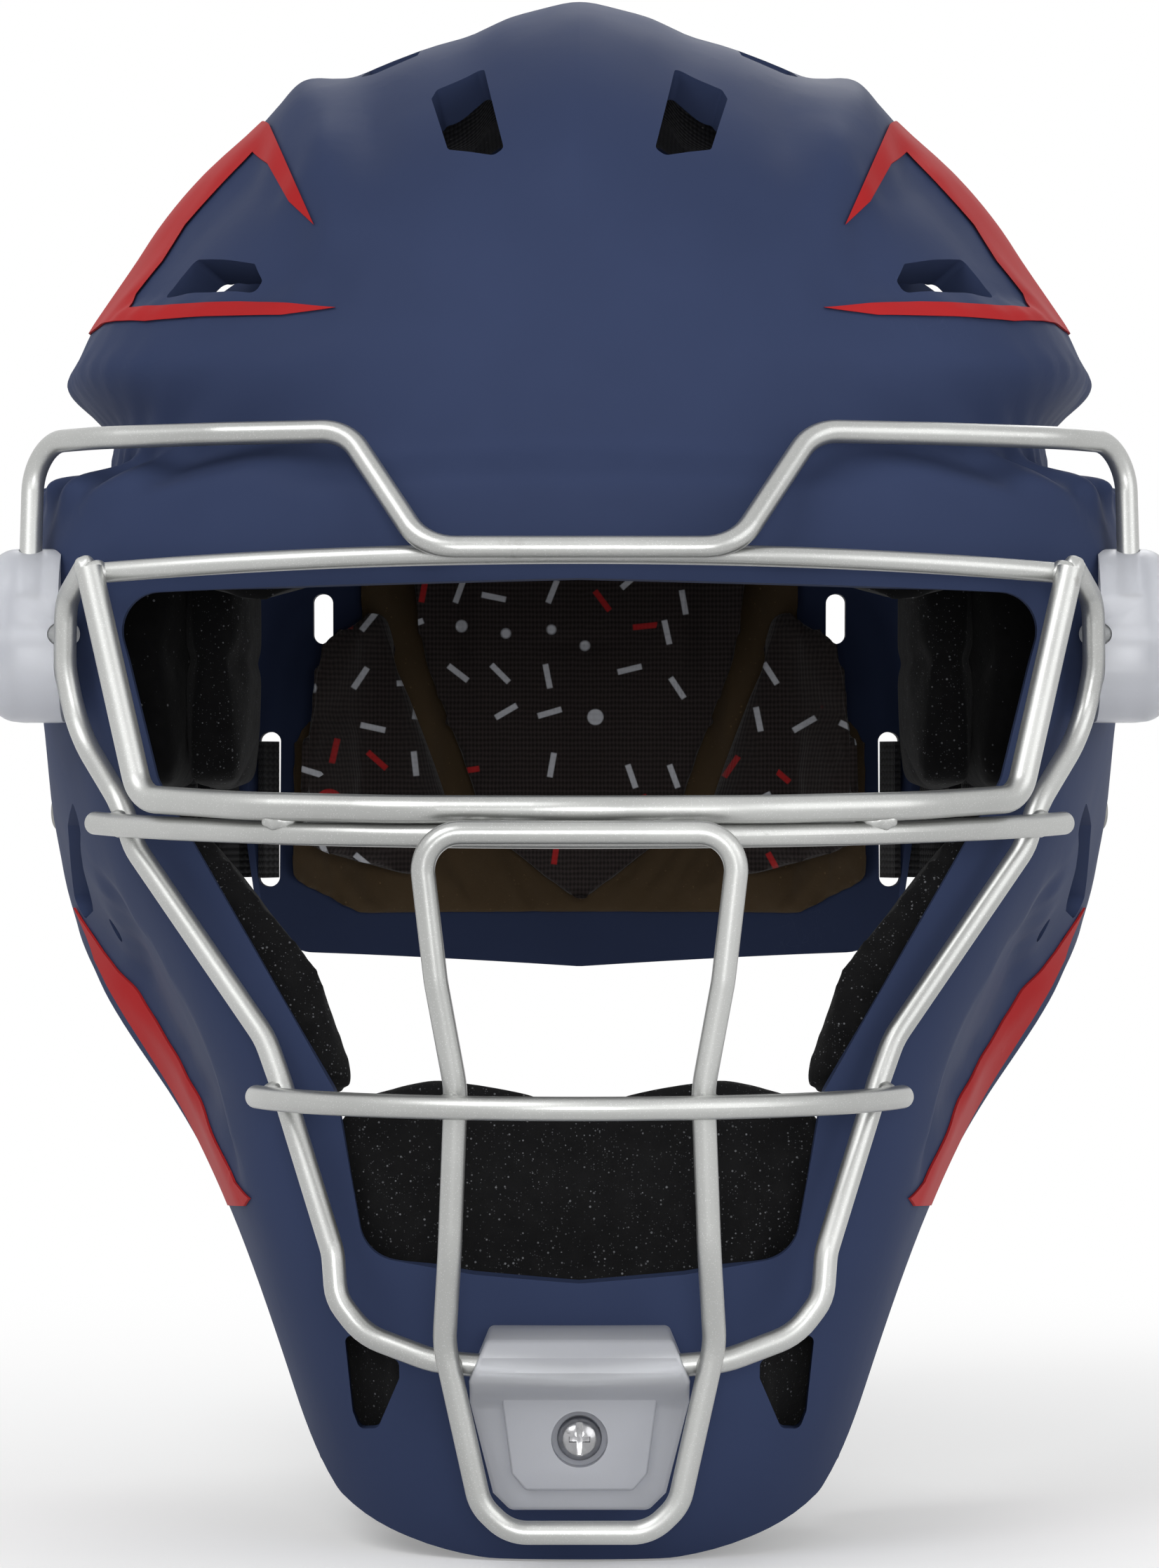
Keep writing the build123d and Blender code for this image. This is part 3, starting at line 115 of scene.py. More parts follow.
class StudioSettings(bpy.types.PropertyGroup):
    distance: bpy.props.FloatProperty(
        name="Camera distance", description="From the ear line to the camera", unit="LENGTH", default=1.2)
    height: bpy.props.FloatProperty(
        name="Camera height", description="Height of the level camera", unit="LENGTH", default=0.156)
    lens: bpy.props.FloatProperty(
        name="Lens", description="Focal length on a frame 36 mm tall, in millimetres", default=123.5)
    key: share("Key light", "Strength of the main soft light", 1.0, 10)
    world: share("Sky", "Strength of the even light from all round", 0.46, 10)


# Small helpers for edit mode and modifiers

def fresh():
    """Leaves edit mode with nothing selected."""
    if bpy.context.object and bpy.context.object.mode != "OBJECT":
        bpy.ops.object.mode_set(mode="OBJECT")
    bpy.ops.object.select_all(action="DESELECT")


def choose(piece):
    fresh()
    piece.select_set(True)
    bpy.context.view_layer.objects.active = piece


def finish_with(piece, kind, **settings):
    """Adds a modifier and applies it."""
    choose(piece)
    modifier = piece.modifiers.new(kind.title(), kind)
    for key, value in settings.items():
        setattr(modifier, key, value)
    bpy.ops.object.modifier_apply(modifier=modifier.name)


def settle(piece, name, finish, angle=None):
    """Puts a finished piece's place into its mesh and gives it a name, a finish and smooth shading.

    An angle in degrees keeps the edges that are sharper than it.
    """
    choose(piece)
    bpy.ops.object.transform_apply(location=True, rotation=True, scale=True)
    if angle is None:
        bpy.ops.object.shade_smooth()
    else:
        bpy.ops.object.shade_smooth_by_angle(angle=math.radians(angle))
    piece.name = piece.data.name = name
    piece.data.materials.clear()
    piece.data.materials.append(finish)
    return piece


def edit(piece, *steps):
    """Runs steps in edit mode, each on all of the piece."""
    choose(piece)
    bpy.ops.object.mode_set(mode="EDIT")
    for step in steps:
        bpy.ops.mesh.select_all(action="SELECT")
        step()
    bpy.ops.object.mode_set(mode="OBJECT")


def round_edges(piece, width, angle, segments=3, **settings):
    """Rounds the edges that are sharper than an angle in degrees."""
    finish_with(piece, "BEVEL", width=width, segments=segments, limit_method="ANGLE",
                angle_limit=math.radians(angle), **settings)


def copy_of(node, name):
    """A merged copy of a CAD node's mesh."""
    piece = bpy.data.objects.new(name, NODES[node].data.copy())
    bpy.context.scene.collection.objects.link(piece)
    piece.data.materials.clear()
    choose(piece)
    if piece.data.has_custom_normals:
        bpy.ops.mesh.customdata_custom_splitnormals_clear()
    edit(piece, lambda: bpy.ops.mesh.remove_doubles(threshold=MERGE_REACH * MM))
    return piece


def twin(piece, name):
    """A mirrored copy on the other side, with its faces turned outwards again."""
    other = bpy.data.objects.new(name, piece.data.copy())
    bpy.context.scene.collection.objects.link(other)
    other.data.name = name
    other.data.transform(Matrix.Diagonal((-1, 1, 1, 1)))
    other.data.flip_normals()
    return other


def joined(pieces, name):
    fresh()
    for piece in pieces:
        piece.select_set(True)
    bpy.context.view_layer.objects.active = pieces[0]
    bpy.ops.object.join()
    pieces[0].name = pieces[0].data.name = name
    return pieces[0]


def dress(node, finish):
    """Gives a CAD node its finish."""
    for holder in NODES[node].material_slots:
        holder.material = finish


# Node trees

class Tree:
    """Adds nodes to a tree. An input is a value or the socket that feeds it."""

    def __init__(self, tree):
        self.tree = tree

    def add(self, kind, inputs=None, **settings):
        node = self.tree.nodes.new(kind)
        for key, value in settings.items():
            setattr(node, key, value)
        for key, value in (inputs or {}).items():
            if isinstance(value, bpy.types.NodeSocket):
                self.tree.links.new(value, node.inputs[key])
            else:
                node.inputs[key].default_value = value
        return node

    def sum(self, operation, first, second=0.0, third=0.0, clamp=False):
        return self.add("ShaderNodeMath", {0: first, 1: second, 2: third}, operation=operation,
                        use_clamp=clamp).outputs[0]

    def band(self, value, low, high, out_low=0.0, out_high=1.0):
        """Turns low to high into out_low to out_high, held at the ends."""
        return self.add("ShaderNodeMapRange", {"Value": value, "From Min": low, "From Max": high,
                                               "To Min": out_low, "To Max": out_high},
                        interpolation_type="SMOOTHSTEP").outputs["Result"]

    def blend(self, factor, first, second):
        node = self.add("ShaderNodeMix", data_type="RGBA")
        for place, value in ((0, factor), (6, first), (7, second)):
            if isinstance(value, bpy.types.NodeSocket):
                self.tree.links.new(value, node.inputs[place])
            else:
                node.inputs[place].default_value = value
        return node.outputs[2]

    def noise(self, vector, scale, detail=3.0, roughness=0.55):
        return self.add("ShaderNodeTexNoise", {"Vector": vector, "Scale": scale, "Detail": detail,
                                               "Roughness": roughness}).outputs[0]

    def use(self, name, inputs):
        """Places one of the shared effects."""
        return self.add("ShaderNodeGroup", inputs, node_tree=effect(name))


def rgba(colour):
    return (*colour, 1.0)


def new_group(name, inputs, outputs):
    tree = bpy.data.node_groups.new(name, "ShaderNodeTree")
    for label, default in inputs:
        kind = "NodeSocketVector" if default is None else "NodeSocketFloat"
        socket = tree.interface.new_socket(label, in_out="INPUT", socket_type=kind)
        if default is not None:
            socket.default_value = default
    for label in outputs:
        tree.interface.new_socket(label, in_out="OUTPUT", socket_type="NodeSocketFloat")
    work = Tree(tree)
    return work, work.add("NodeGroupInput").outputs, work.add("NodeGroupOutput").inputs


def moulded_grain():
    """Fine spark-eroded grain over a faint waviness, as moulded plastic and thick paint have."""
    work, given, gives = new_group("Moulded Grain", (("Vector", None), ("Scale", 900.0)), ("Height", "Tone"))
    fine = work.noise(given["Vector"], given["Scale"], 2.0)
    wave = work.noise(given["Vector"], work.sum("MULTIPLY", given["Scale"], 0.11), 2.0)
    work.tree.links.new(work.sum("MULTIPLY_ADD", fine, 0.35, wave), gives["Height"])
    work.tree.links.new(work.noise(given["Vector"], 14.0, 3.0), gives["Tone"])
    return work.tree


def light_wear():
    """Short hairline scratches and small rubbed spots."""
    work, given, gives = new_group("Light Wear", (("Vector", None), ("Scale", 60.0), ("Share", 0.3)),
                                   ("Scratches", "Rubs"))
    lines = None
    for turn, stretch in ((0.5, 7.0), (2.1, 9.0)):
        turned = work.add("ShaderNodeVectorRotate", {"Vector": given["Vector"], "Axis": (0.3, 1, 0.2),
                                                     "Angle": turn})
        long = work.add("ShaderNodeMapping", {"Vector": turned.outputs[0], "Scale": (1, stretch, stretch)})
        value = work.noise(long.outputs[0], given["Scale"], 1.0)
        thin = work.band(work.sum("ABSOLUTE", work.sum("SUBTRACT", value, 0.5)), 0.0, 0.012, 1.0, 0.0)
        lines = thin if lines is None else work.sum("MAXIMUM", lines, thin)
    patches = work.noise(given["Vector"], work.sum("MULTIPLY", given["Scale"], 0.3), 2.0)
    allowed = work.band(patches, work.sum("SUBTRACT", 0.72, work.sum("MULTIPLY", given["Share"], 0.3)), 0.75)
    work.tree.links.new(work.sum("MULTIPLY", lines, allowed), gives["Scratches"])
    spots = work.noise(given["Vector"], work.sum("MULTIPLY", given["Scale"], 3.0), 3.0, 0.7)
    work.tree.links.new(work.sum("MULTIPLY", work.band(spots, 0.6, 0.72), allowed), gives["Rubs"])
    return work.tree


def scattered_specks():
    """Small round specks, each in its own cell, of which a share is left out."""
    work, given, gives = new_group("Scattered Specks", (("Vector", None), ("Scale", 600.0), ("Radius", 0.25),
                                                        ("Share", 0.5)), ("Mask", "Tone"))
    cells = work.add("ShaderNodeTexVoronoi", {"Vector": given["Vector"], "Scale": given["Scale"]})
    dice = work.add("ShaderNodeSeparateColor", {"Color": cells.outputs["Color"]})
    size = work.sum("MULTIPLY", given["Radius"], work.sum("MULTIPLY_ADD", dice.outputs["Green"], 0.7, 0.5))
    dot = work.band(cells.outputs["Distance"], work.sum("MULTIPLY", size, 0.6), size, 1.0, 0.0)
    kept = work.sum("LESS_THAN", dice.outputs["Red"], given["Share"])
    work.tree.links.new(work.sum("MULTIPLY", dot, kept), gives["Mask"])
    work.tree.links.new(dice.outputs["Blue"], gives["Tone"])
    return work.tree


def knitted_cloth():
    """Rows of small loops that run across a face, whichever way it looks."""
    work, given, gives = new_group("Knitted Cloth", (("Vector", None), ("Normal", None), ("Pitch", 0.9 * MM)),
                                   ("Height",))
    turn = work.sum("DIVIDE", 2 * math.pi, given["Pitch"])
    wobble = work.noise(given["Vector"], 260.0, 1.0)
    place = work.add("ShaderNodeSeparateXYZ", {"Vector": given["Vector"]})
    facing = work.add("ShaderNodeSeparateXYZ", {"Vector": given["Normal"]})
    total = None
    for axis, stretch in (("X", 1.0), ("Y", 0.82), ("Z", 0.7)):
        angle = work.sum("MULTIPLY_ADD", place.outputs[axis], work.sum("MULTIPLY", turn, stretch),
                         work.sum("MULTIPLY", wobble, 2.2))
        flat = work.band(work.sum("ABSOLUTE", facing.outputs[axis]), 0.45, 0.95, 1.0, 0.0)
        wave = work.sum("MULTIPLY", work.sum("SINE", angle), flat)
        total = wave if total is None else work.sum("ADD", total, wave)
    work.tree.links.new(work.sum("MULTIPLY_ADD", total, 0.22, 0.5, clamp=True), gives["Height"])
    return work.tree


def ribbed_band():
    """Elastic webbing: ribs along the strap with fine cross threads. X of the vector runs across it."""
    work, given, gives = new_group("Ribbed Band", (("Vector", None), ("Pitch", 1.5 * MM)),
                                   ("Height", "Thread"))
    turn = work.sum("DIVIDE", 2 * math.pi, given["Pitch"])
    place = work.add("ShaderNodeSeparateXYZ", {"Vector": given["Vector"]})
    across = work.sum("MULTIPLY", place.outputs["X"], work.sum("MULTIPLY", turn, 0.5))
    rib = work.sum("ABSOLUTE", work.sum("SINE", across))
    along = work.sum("ADD", place.outputs["Y"], place.outputs["Z"])
    thread = work.sum("SINE", work.sum("MULTIPLY_ADD", along, work.sum("MULTIPLY", turn, 1.9),
                                       work.sum("MULTIPLY", rib, 2.4)))
    work.tree.links.new(work.sum("MULTIPLY_ADD", thread, 0.12, rib), gives["Height"])
    work.tree.links.new(work.sum("MULTIPLY_ADD", thread, 0.5, 0.5), gives["Thread"])
    return work.tree


EFFECTS = {
    "Moulded Grain": moulded_grain,
    "Light Wear": light_wear,
    "Scattered Specks": scattered_specks,
    "Knitted Cloth": knitted_cloth,
    "Ribbed Band": ribbed_band,
}


def effect(name):
    return bpy.data.node_groups.get(name) or EFFECTS[name]()


# What stays the same over a surface, for the shader's own sockets
MOULDED = {"IOR": 1.47, "Specular IOR Level": 0.025}
FILM = {"IOR": 1.5, "Specular IOR Level": 0.012}
PAINT = {"IOR": 1.5, "Metallic": 0.86}
CLEAR = {"IOR": 1.46, "Metallic": 0.0, "Transmission Weight": 0.55}
PLATING = {"Metallic": 1.0}
FOAM = {"IOR": 1.4, "Specular IOR Level": 0.12, "Sheen Weight": 0.05, "Sheen Roughness": 0.6}
COVER = {"IOR": 1.4, "Specular IOR Level": 0.12, "Sheen Weight": 0.1, "Sheen Roughness": 0.5}
LINER = {"IOR": 1.4, "Specular IOR Level": 0.15, "Sheen Weight": 0.1, "Sheen Roughness": 0.5}
ELASTIC = {"IOR": 1.4, "Sheen Weight": 0.2, "Sheen Roughness": 0.4}
FLOOR = {"Roughness": 0.9, "Specular IOR Level": 0.0}
# Colours of wear and dust, as linear values
WORN_FILM = (0.5, 0.16, 0.15, 1)
BRIGHT_FLAKE = (0.9, 0.9, 0.9, 1)
BARE_WIRE = (0.18, 0.17, 0.16, 1)
DIRT = (0.12, 0.11, 0.1, 1)
COVER_LINT = (0.25, 0.25, 0.26, 1)
STRAP_LINT = (0.2, 0.2, 0.2, 1)
BLACK = (0, 0, 0, 1)
WHITE = (1, 1, 1, 1)


def scaled(colour, *factors):
    """A colour times each factor, as the values that a node takes."""
    return [rgba([min(1, part * factor) for part in colour]) for factor in factors]


def toned(work, tone, colour, deep, low=0.3, high=0.7):
    """Varies a colour over the surface down to a deeper one."""
    return work.blend(work.band(tone, low, high), *scaled(colour, deep, 1))


def new_finish(name, constants):
    """A material with its shader; constants are set on the shader's own sockets."""
    material = bpy.data.materials.new(name)
    material.use_nodes = True
    work = Tree(material.node_tree)
    shader = material.node_tree.nodes["Principled BSDF"]
    for key, value in constants.items():
        shader.inputs[key].default_value = value
    return material, work, shader, work.add("ShaderNodeTexCoord").outputs["Object"]


def feed(work, shader, colour, roughness, height, depth, strength):
    """Joins what changes over the surface to the shader; depth is a full bump's height in millimetres."""
    work.tree.links.new(colour, shader.inputs["Base Color"])
    if roughness is not None:
        work.tree.links.new(roughness, shader.inputs["Roughness"])
    bump = work.add("ShaderNodeBump", {"Height": height, "Distance": depth * MM, "Strength": strength})
    work.tree.links.new(bump.outputs["Normal"], shader.inputs["Normal"])


def moulded_plastic(name, colour, low=0.46, high=0.6):
    """Satin plastic: faint waviness, fine grain, hairline scratches and small rubbed spots."""
    if name in bpy.data.materials:
        return bpy.data.materials[name]
    material, work, shader, place = new_finish(name, MOULDED)
    grain = work.use("Moulded Grain", {"Vector": place, "Scale": 1500.0})
    wear = work.use("Light Wear", {"Vector": place, "Scale": 45.0, "Share": 0.35})
    pale = [min(1, part * 1.45 + 0.02) for part in colour]
    tone = toned(work, grain.outputs["Tone"], colour, 0.88)
    marked = work.sum("MAXIMUM", work.sum("MULTIPLY", wear.outputs["Scratches"], 0.35),
                      work.sum("MULTIPLY", wear.outputs["Rubs"], 0.22))
    finish = work.blend(marked, tone, rgba(pale))
    rough = work.sum("ADD", work.band(grain.outputs["Tone"], 0.25, 0.75, low, high),
                     work.sum("MULTIPLY", wear.outputs["Rubs"], 0.12))
    feed(work, shader, finish, rough, grain.outputs["Height"], 0.06, 0.5)
    return material


def red_film(colour):
    material, work, shader, place = new_finish("Red Stripe Film", FILM)
    grain = work.use("Moulded Grain", {"Vector": place, "Scale": 1100.0})
    wear = work.use("Light Wear", {"Vector": place, "Scale": 60.0, "Share": 0.4})
    tone = toned(work, grain.outputs["Tone"], colour, 0.86)
    nicked = work.blend(work.sum("MULTIPLY", wear.outputs["Rubs"], 0.3), tone, WORN_FILM)
    rough = work.sum("ADD", work.band(grain.outputs["Tone"], 0.2, 0.8, 0.38, 0.5),
                     work.sum("MULTIPLY", wear.outputs["Scratches"], 0.2))
    feed(work, shader, nicked, rough, grain.outputs["Height"], 0.05, 0.35)
    return material


def silver_paint(colour):
    """Metallic paint on the cage wire, with its orange peel, fine flake and darker nicks."""
    material, work, shader, place = new_finish("Silver Wire Paint", PAINT)
    grain = work.use("Moulded Grain", {"Vector": place, "Scale": 2600.0})
    wear = work.use("Light Wear", {"Vector": place, "Scale": 70.0, "Share": 0.45})
    flake = work.use("Scattered Specks", {"Vector": place, "Scale": 3200.0, "Radius": 0.4, "Share": 0.5})
    tone = toned(work, grain.outputs["Tone"], colour, 0.8)
    spark = work.blend(work.sum("MULTIPLY", flake.outputs["Mask"], 0.25), tone, BRIGHT_FLAKE)
    worn = work.blend(work.sum("MULTIPLY", wear.outputs["Rubs"], 0.45), spark, BARE_WIRE)
    rough = work.sum("ADD", work.band(grain.outputs["Tone"], 0.25, 0.75, 0.3, 0.42),
                     work.sum("MULTIPLY", wear.outputs["Scratches"], 0.2))
    feed(work, shader, worn, rough, grain.outputs["Height"], 0.05, 0.45)
    return material


def clear_plastic(colour):
    """Clear moulding with a frosted skin that the handling has rubbed in places."""
    material, work, shader, place = new_finish("Clear Clip Plastic", CLEAR)
    grain = work.use("Moulded Grain", {"Vector": place, "Scale": 1300.0})
    wear = work.use("Light Wear", {"Vector": place, "Scale": 120.0, "Share": 0.5})
    milky = work.blend(work.band(grain.outputs["Tone"], 0.25, 0.8), *scaled(colour, 1, 1.12))
    rough = work.sum("ADD", work.band(grain.outputs["Tone"], 0.2, 0.8, 0.3, 0.42),
                     work.sum("MULTIPLY", wear.outputs["Scratches"], 0.2))
    feed(work, shader, milky, rough, grain.outputs["Height"], 0.08, 0.4)
    return material


def plated_steel(name, colour, low, high):
    """Plating with a faint turned grain and small spangles."""
    material, work, shader, place = new_finish(name, PLATING)
    turned = work.add("ShaderNodeMapping", {"Vector": place, "Scale": (1, 6, 1)})
    brush = work.noise(turned.outputs[0], 1800.0, 2.0)
    spangle = work.use("Scattered Specks", {"Vector": place, "Scale": 700.0, "Radius": 0.8, "Share": 0.8})
    wear = work.use("Light Wear", {"Vector": place, "Scale": 160.0, "Share": 0.6})
    tone = work.blend(work.sum("MULTIPLY", spangle.outputs["Tone"], 0.5), *scaled(colour, 1, 0.72))
    dirty = work.blend(work.sum("MULTIPLY", wear.outputs["Rubs"], 0.5), tone, DIRT)
    feed(work, shader, dirty, work.band(brush, 0.3, 0.7, low, high), brush, 0.03, 0.3)
    return material


def cut_foam(name, colour, speck, pitch, amount=0.42):
    """Closed-cell foam: pores all over and a scatter of pale specks."""
    material, work, shader, place = new_finish(name, FOAM)
    specks = work.use("Scattered Specks", {"Vector": place, "Scale": 1 / pitch, "Radius": 0.26,
                                           "Share": amount})
    dust = work.use("Scattered Specks", {"Vector": place, "Scale": 2.1 / pitch, "Radius": 0.3,
                                         "Share": amount * 0.8})
    pores = work.use("Moulded Grain", {"Vector": place, "Scale": 2400.0})
    pale = work.blend(work.sum("MULTIPLY", specks.outputs["Tone"], 0.8), *scaled(speck, 1, 0.35))
    shade = toned(work, pores.outputs["Tone"], colour, 0.7, 0.25, 0.75)
    mask = work.sum("MAXIMUM", specks.outputs["Mask"], work.sum("MULTIPLY", dust.outputs["Mask"], 0.5))
    pored = work.sum("SUBTRACT", pores.outputs["Height"], work.sum("MULTIPLY", mask, 0.3))
    rough = work.band(pores.outputs["Height"], 0.4, 1.0, 0.75, 0.95)
    feed(work, shader, work.blend(mask, shade, pale), rough, pored, 0.25, 0.7)
    return material


def knitted(work, place, pitch):
    """The height of the knit, which turns with the surface."""
    facing = work.add("ShaderNodeTexCoord").outputs["Normal"]
    return work.use("Knitted Cloth", {"Vector": place, "Normal": facing, "Pitch": pitch}).outputs["Height"]


def knit_cover(name, colour, pitch):
    """Knitted polyester over foam, with lint."""
    material, work, shader, place = new_finish(name, COVER)
    knit = knitted(work, place, pitch)
    lint = work.use("Scattered Specks", {"Vector": place, "Scale": 420.0, "Radius": 0.12, "Share": 0.3})
    tone = work.use("Moulded Grain", {"Vector": place, "Scale": 1800.0})
    # Painted shade and light: the hollows of the knit are painted darker and the tops of its loops lighter
    cloth = work.blend(work.band(knit, 0.15, 0.85), *scaled(colour, 0.45, 1.25))
    dusty = work.blend(work.sum("MULTIPLY", lint.outputs["Mask"], 0.5), cloth, COVER_LINT)
    feed(work, shader, dusty, work.band(tone.outputs["Tone"], 0.2, 0.8, 0.8, 0.95), knit, 0.3, 0.8)
    return material


def printed_liner(colours, sizes):
    """Dark knit with pale and red marks: loose rings and short bars in a scattered layout."""
    material, work, shader, place = new_finish("Printed Liner Knit", LINER)
    knit = knitted(work, place, sizes.knit)
    flat = work.add("ShaderNodeMapping", {"Vector": place, "Scale": (1, 0.12, 1)})
    cells = work.add("ShaderNodeTexVoronoi", {"Vector": flat.outputs[0], "Scale": 1 / sizes.mark,
                                              "Randomness": 0.62})
    dice = work.add("ShaderNodeSeparateColor", {"Color": cells.outputs["Color"]})
    inside = cells.outputs["Distance"]
    rim = work.sum("MULTIPLY_ADD", dice.outputs["Green"], 0.1, 0.2)
    ring = work.band(work.sum("ABSOLUTE", work.sum("SUBTRACT", inside, rim)), 0.03, 0.055, 1.0, 0.0)
    spot = work.add("ShaderNodeVectorMath", {0: flat.outputs[0], 1: cells.outputs["Position"]},
                    operation="SUBTRACT")
    angle = work.sum("MULTIPLY", dice.outputs["Blue"], 6.28)
    turned = work.add("ShaderNodeVectorRotate", {"Vector": spot.outputs[0], "Axis": (0, 1, 0),
                                                 "Angle": angle})
    ends = work.add("ShaderNodeSeparateXYZ", {"Vector": turned.outputs[0]})
    slim = work.band(work.sum("ABSOLUTE", ends.outputs["X"]), 0.05 * sizes.mark, 0.08 * sizes.mark, 1.0, 0.0)
    short = work.band(work.sum("ABSOLUTE", ends.outputs["Z"]), 0.26 * sizes.mark, 0.3 * sizes.mark, 1.0, 0.0)
    bar = work.sum("MULTIPLY", slim, short)
    picks_ring = work.sum("GREATER_THAN", dice.outputs["Green"], 0.5)
    shape = work.sum("ADD", work.sum("MULTIPLY", ring, picks_ring),
                     work.sum("MULTIPLY", bar, work.sum("SUBTRACT", 1.0, picks_ring)))
    mask = work.sum("MULTIPLY", shape, 0.85)
    ink = work.blend(work.sum("GREATER_THAN", dice.outputs["Red"], 0.65), rgba(colours.mark_pale),
                     rgba(colours.mark_red))
    # Painted shade and light: the hollows of the knit are painted darker and the tops of its loops lighter
    cloth = work.blend(work.band(knit, 0.15, 0.85), *scaled(colours.liner, 0.5, 1.3))
    feed(work, shader, work.blend(mask, cloth, ink), work.band(knit, 0.0, 1.0, 0.95, 0.78), knit, 0.2, 0.7)
    return material


def elastic_webbing(name, colour, pitch, turned):
    """Ribbed elastic; turned is for a strap whose width runs along Z."""
    material, work, shader, place = new_finish(name, ELASTIC)
    turn = (0, math.pi / 2, 0) if turned else (0, 0, 0)
    across = work.add("ShaderNodeMapping", {"Vector": place, "Rotation": turn})
    band = work.use("Ribbed Band", {"Vector": across.outputs[0], "Pitch": pitch})
    lint = work.use("Scattered Specks", {"Vector": place, "Scale": 500.0, "Radius": 0.1, "Share": 0.3})
    # Painted shade and light: the grooves between the ribs are painted darker and the tops of the ribs
    # lighter
    ribs = work.blend(work.sum("MULTIPLY", band.outputs["Height"], 0.8), *scaled(colour, 0.4, 1.5))
    dusty = work.blend(work.sum("MULTIPLY", lint.outputs["Mask"], 0.4), ribs, STRAP_LINT)
    rough = work.band(band.outputs["Thread"], 0, 1, 0.7, 0.9)
    feed(work, shader, dusty, rough, band.outputs["Height"], 0.4, 0.9)
    return material


# Soft pieces

def pad_blank(node, shrink, grain=2.6, rounds=3, hull=False):
    """A pad a little smaller than its CAD solid, in even faces of a grain in millimetres, ready to swell."""
    piece = copy_of(node, node + "_soft")
    if hull:
        edit(piece, bpy.ops.mesh.convex_hull)
    finish_with(piece, "REMESH", mode="VOXEL", voxel_size=grain * MM)
    finish_with(piece, "SMOOTH", factor=0.5, iterations=rounds)
    finish_with(piece, "DISPLACE", strength=-shrink, mid_level=0.0)
    return piece


# The simulation that blows the pads up
SWELL_STEPS = 20
CLOTH_FABRIC = {"quality": 4, "mass": 0.2, "tension_stiffness": 12, "compression_stiffness": 12,
                "bending_stiffness": 0.6, "use_pressure": True, "uniform_pressure_force": 4}
# What the swelling pads turn their free side to
HEAD_MIDDLE = Vector((0, 0, 190)) * MM
REAR_FOCUS = Vector((0, -250, 180)) * MM


def swell(pieces, towards, sizes):
    """Blows the pads up as cloth with air in it, and holds every point near where it started."""
    scene = bpy.context.scene
    for piece in pieces:
        cloth = piece.modifiers.new("Cloth", "CLOTH")
        for key, value in CLOTH_FABRIC.items():
            setattr(cloth.settings, key, value)
        cloth.settings.effector_weights.gravity = 0
        cloth.collision_settings.use_collision = False
        cloth.point_cache.frame_end = SWELL_STEPS
    for number in range(1, SWELL_STEPS + 1):
        scene.frame_set(number)
    depsgraph = bpy.context.evaluated_depsgraph_get()
    for piece in pieces:
        blown = [point.co.copy() for point in piece.evaluated_get(depsgraph).data.vertices]
        starts = [point.co.copy() for point in piece.data.vertices]
        normals = [point.normal.copy() for point in piece.data.vertices]
        piece.modifiers.clear()
        for point, start, end, normal in zip(piece.data.vertices, starts, blown, normals):
            free = max(0.0, normal.dot((towards - start).normalized()))
            most = sizes.wall_swell + (sizes.free_swell - sizes.wall_swell) * free
            move = end - start
            if move.length > most:
                move *= most / move.length
            point.co = start + move
    scene.frame_set(1)


# A channel fades out at this many times its width
CHANNEL_REACH = 2.5
# Where the sewn channels run, in millimetres
BROW_SEAM_X = 30
CROWN_SEAM_X = 18
CROWN_SEAM_Y = 14
CHIN_SEAM_X = 40
CHIN_SEAM_TOP = 88
TEMPLE_SEAM_Z = 183
REAR_SEAM_Z = 190


def channels(piece, distance, width, depth):
    """Presses sewn channels into a pad: distance gives a point's way to the nearest one, in millimetres."""
    for point in piece.data.vertices:
        near = distance(*(point.co / MM)) / width
        if near < CHANNEL_REACH:
            point.co -= point.normal * depth * math.exp(-near * near * 2)


def pad_done(piece, node, finish, body):
    """Smooths a swollen pad and puts it in its CAD node's place."""
    finish_with(piece, "SUBSURF", levels=1, render_levels=1)
    settle(piece, node + "_soft", finish)
    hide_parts(node)
    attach(piece, body)


# Operators

class HELMET_OT_shell(bpy.types.Operator):
    """Give the moulded shell its satin navy finish"""
    bl_idname = "helmet.shell"
    bl_label = "Front Shell"

    def execute(self, context):
        colours = context.scene.helmet_colours
        dress("front_shell", moulded_plastic("Navy Shell Plastic", colours.shell))
        return {"FINISHED"}


class HELMET_OT_stripes(bpy.types.Operator):
    """Give the crown and jaw stripes their red film"""
    bl_idname = "helmet.stripes"
    bl_label = "Stripes"

    def execute(self, context):
        finish = red_film(context.scene.helmet_colours.stripe)
        for node in ("crown_stripes", "jaw_stripes"):
            dress(node, finish)
        return {"FINISHED"}


def eased(node, name, finish, width):
    """A rigid CAD piece with the small rounding that its mould or press leaves on its edges."""
    piece = copy_of(node, name)
    edit(piece, lambda: bpy.ops.mesh.dissolve_limited(angle_limit=math.radians(1.5)))
    round_edges(piece, width, 38, use_clamp_overlap=True, miter_outer="MITER_ARC")
    settle(piece, name, finish, 32)
    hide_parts(node)
    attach(piece, "helmet")
    return piece


# The chin clip seen from its left side, as Y and Z in millimetres, from the back of its foot up over its hook
CLIP_SIDE = ((-121.8, 12.2), (-135.2, 12.2), (-136.8, 33.0), (-139.6, 35.6), (-144.0, 37.8), (-146.6, 40.6),
             (-147.0, 43.6), (-145.4, 46.9), (-140.5, 48.4), (-129.6, 48.4))
CLIP_REACH = 21.7
CLIP_ROUNDING = 1.5
# Cuts that give the clip its outline from the front: a point and a direction in X and Z
CLIP_CUTS = (((21.8, 38.5), (10.5, 4.3)), ((21.6, 33.4), (17.5, -4.4)), ((15.6, 14.1), (1.0, -1.0)))
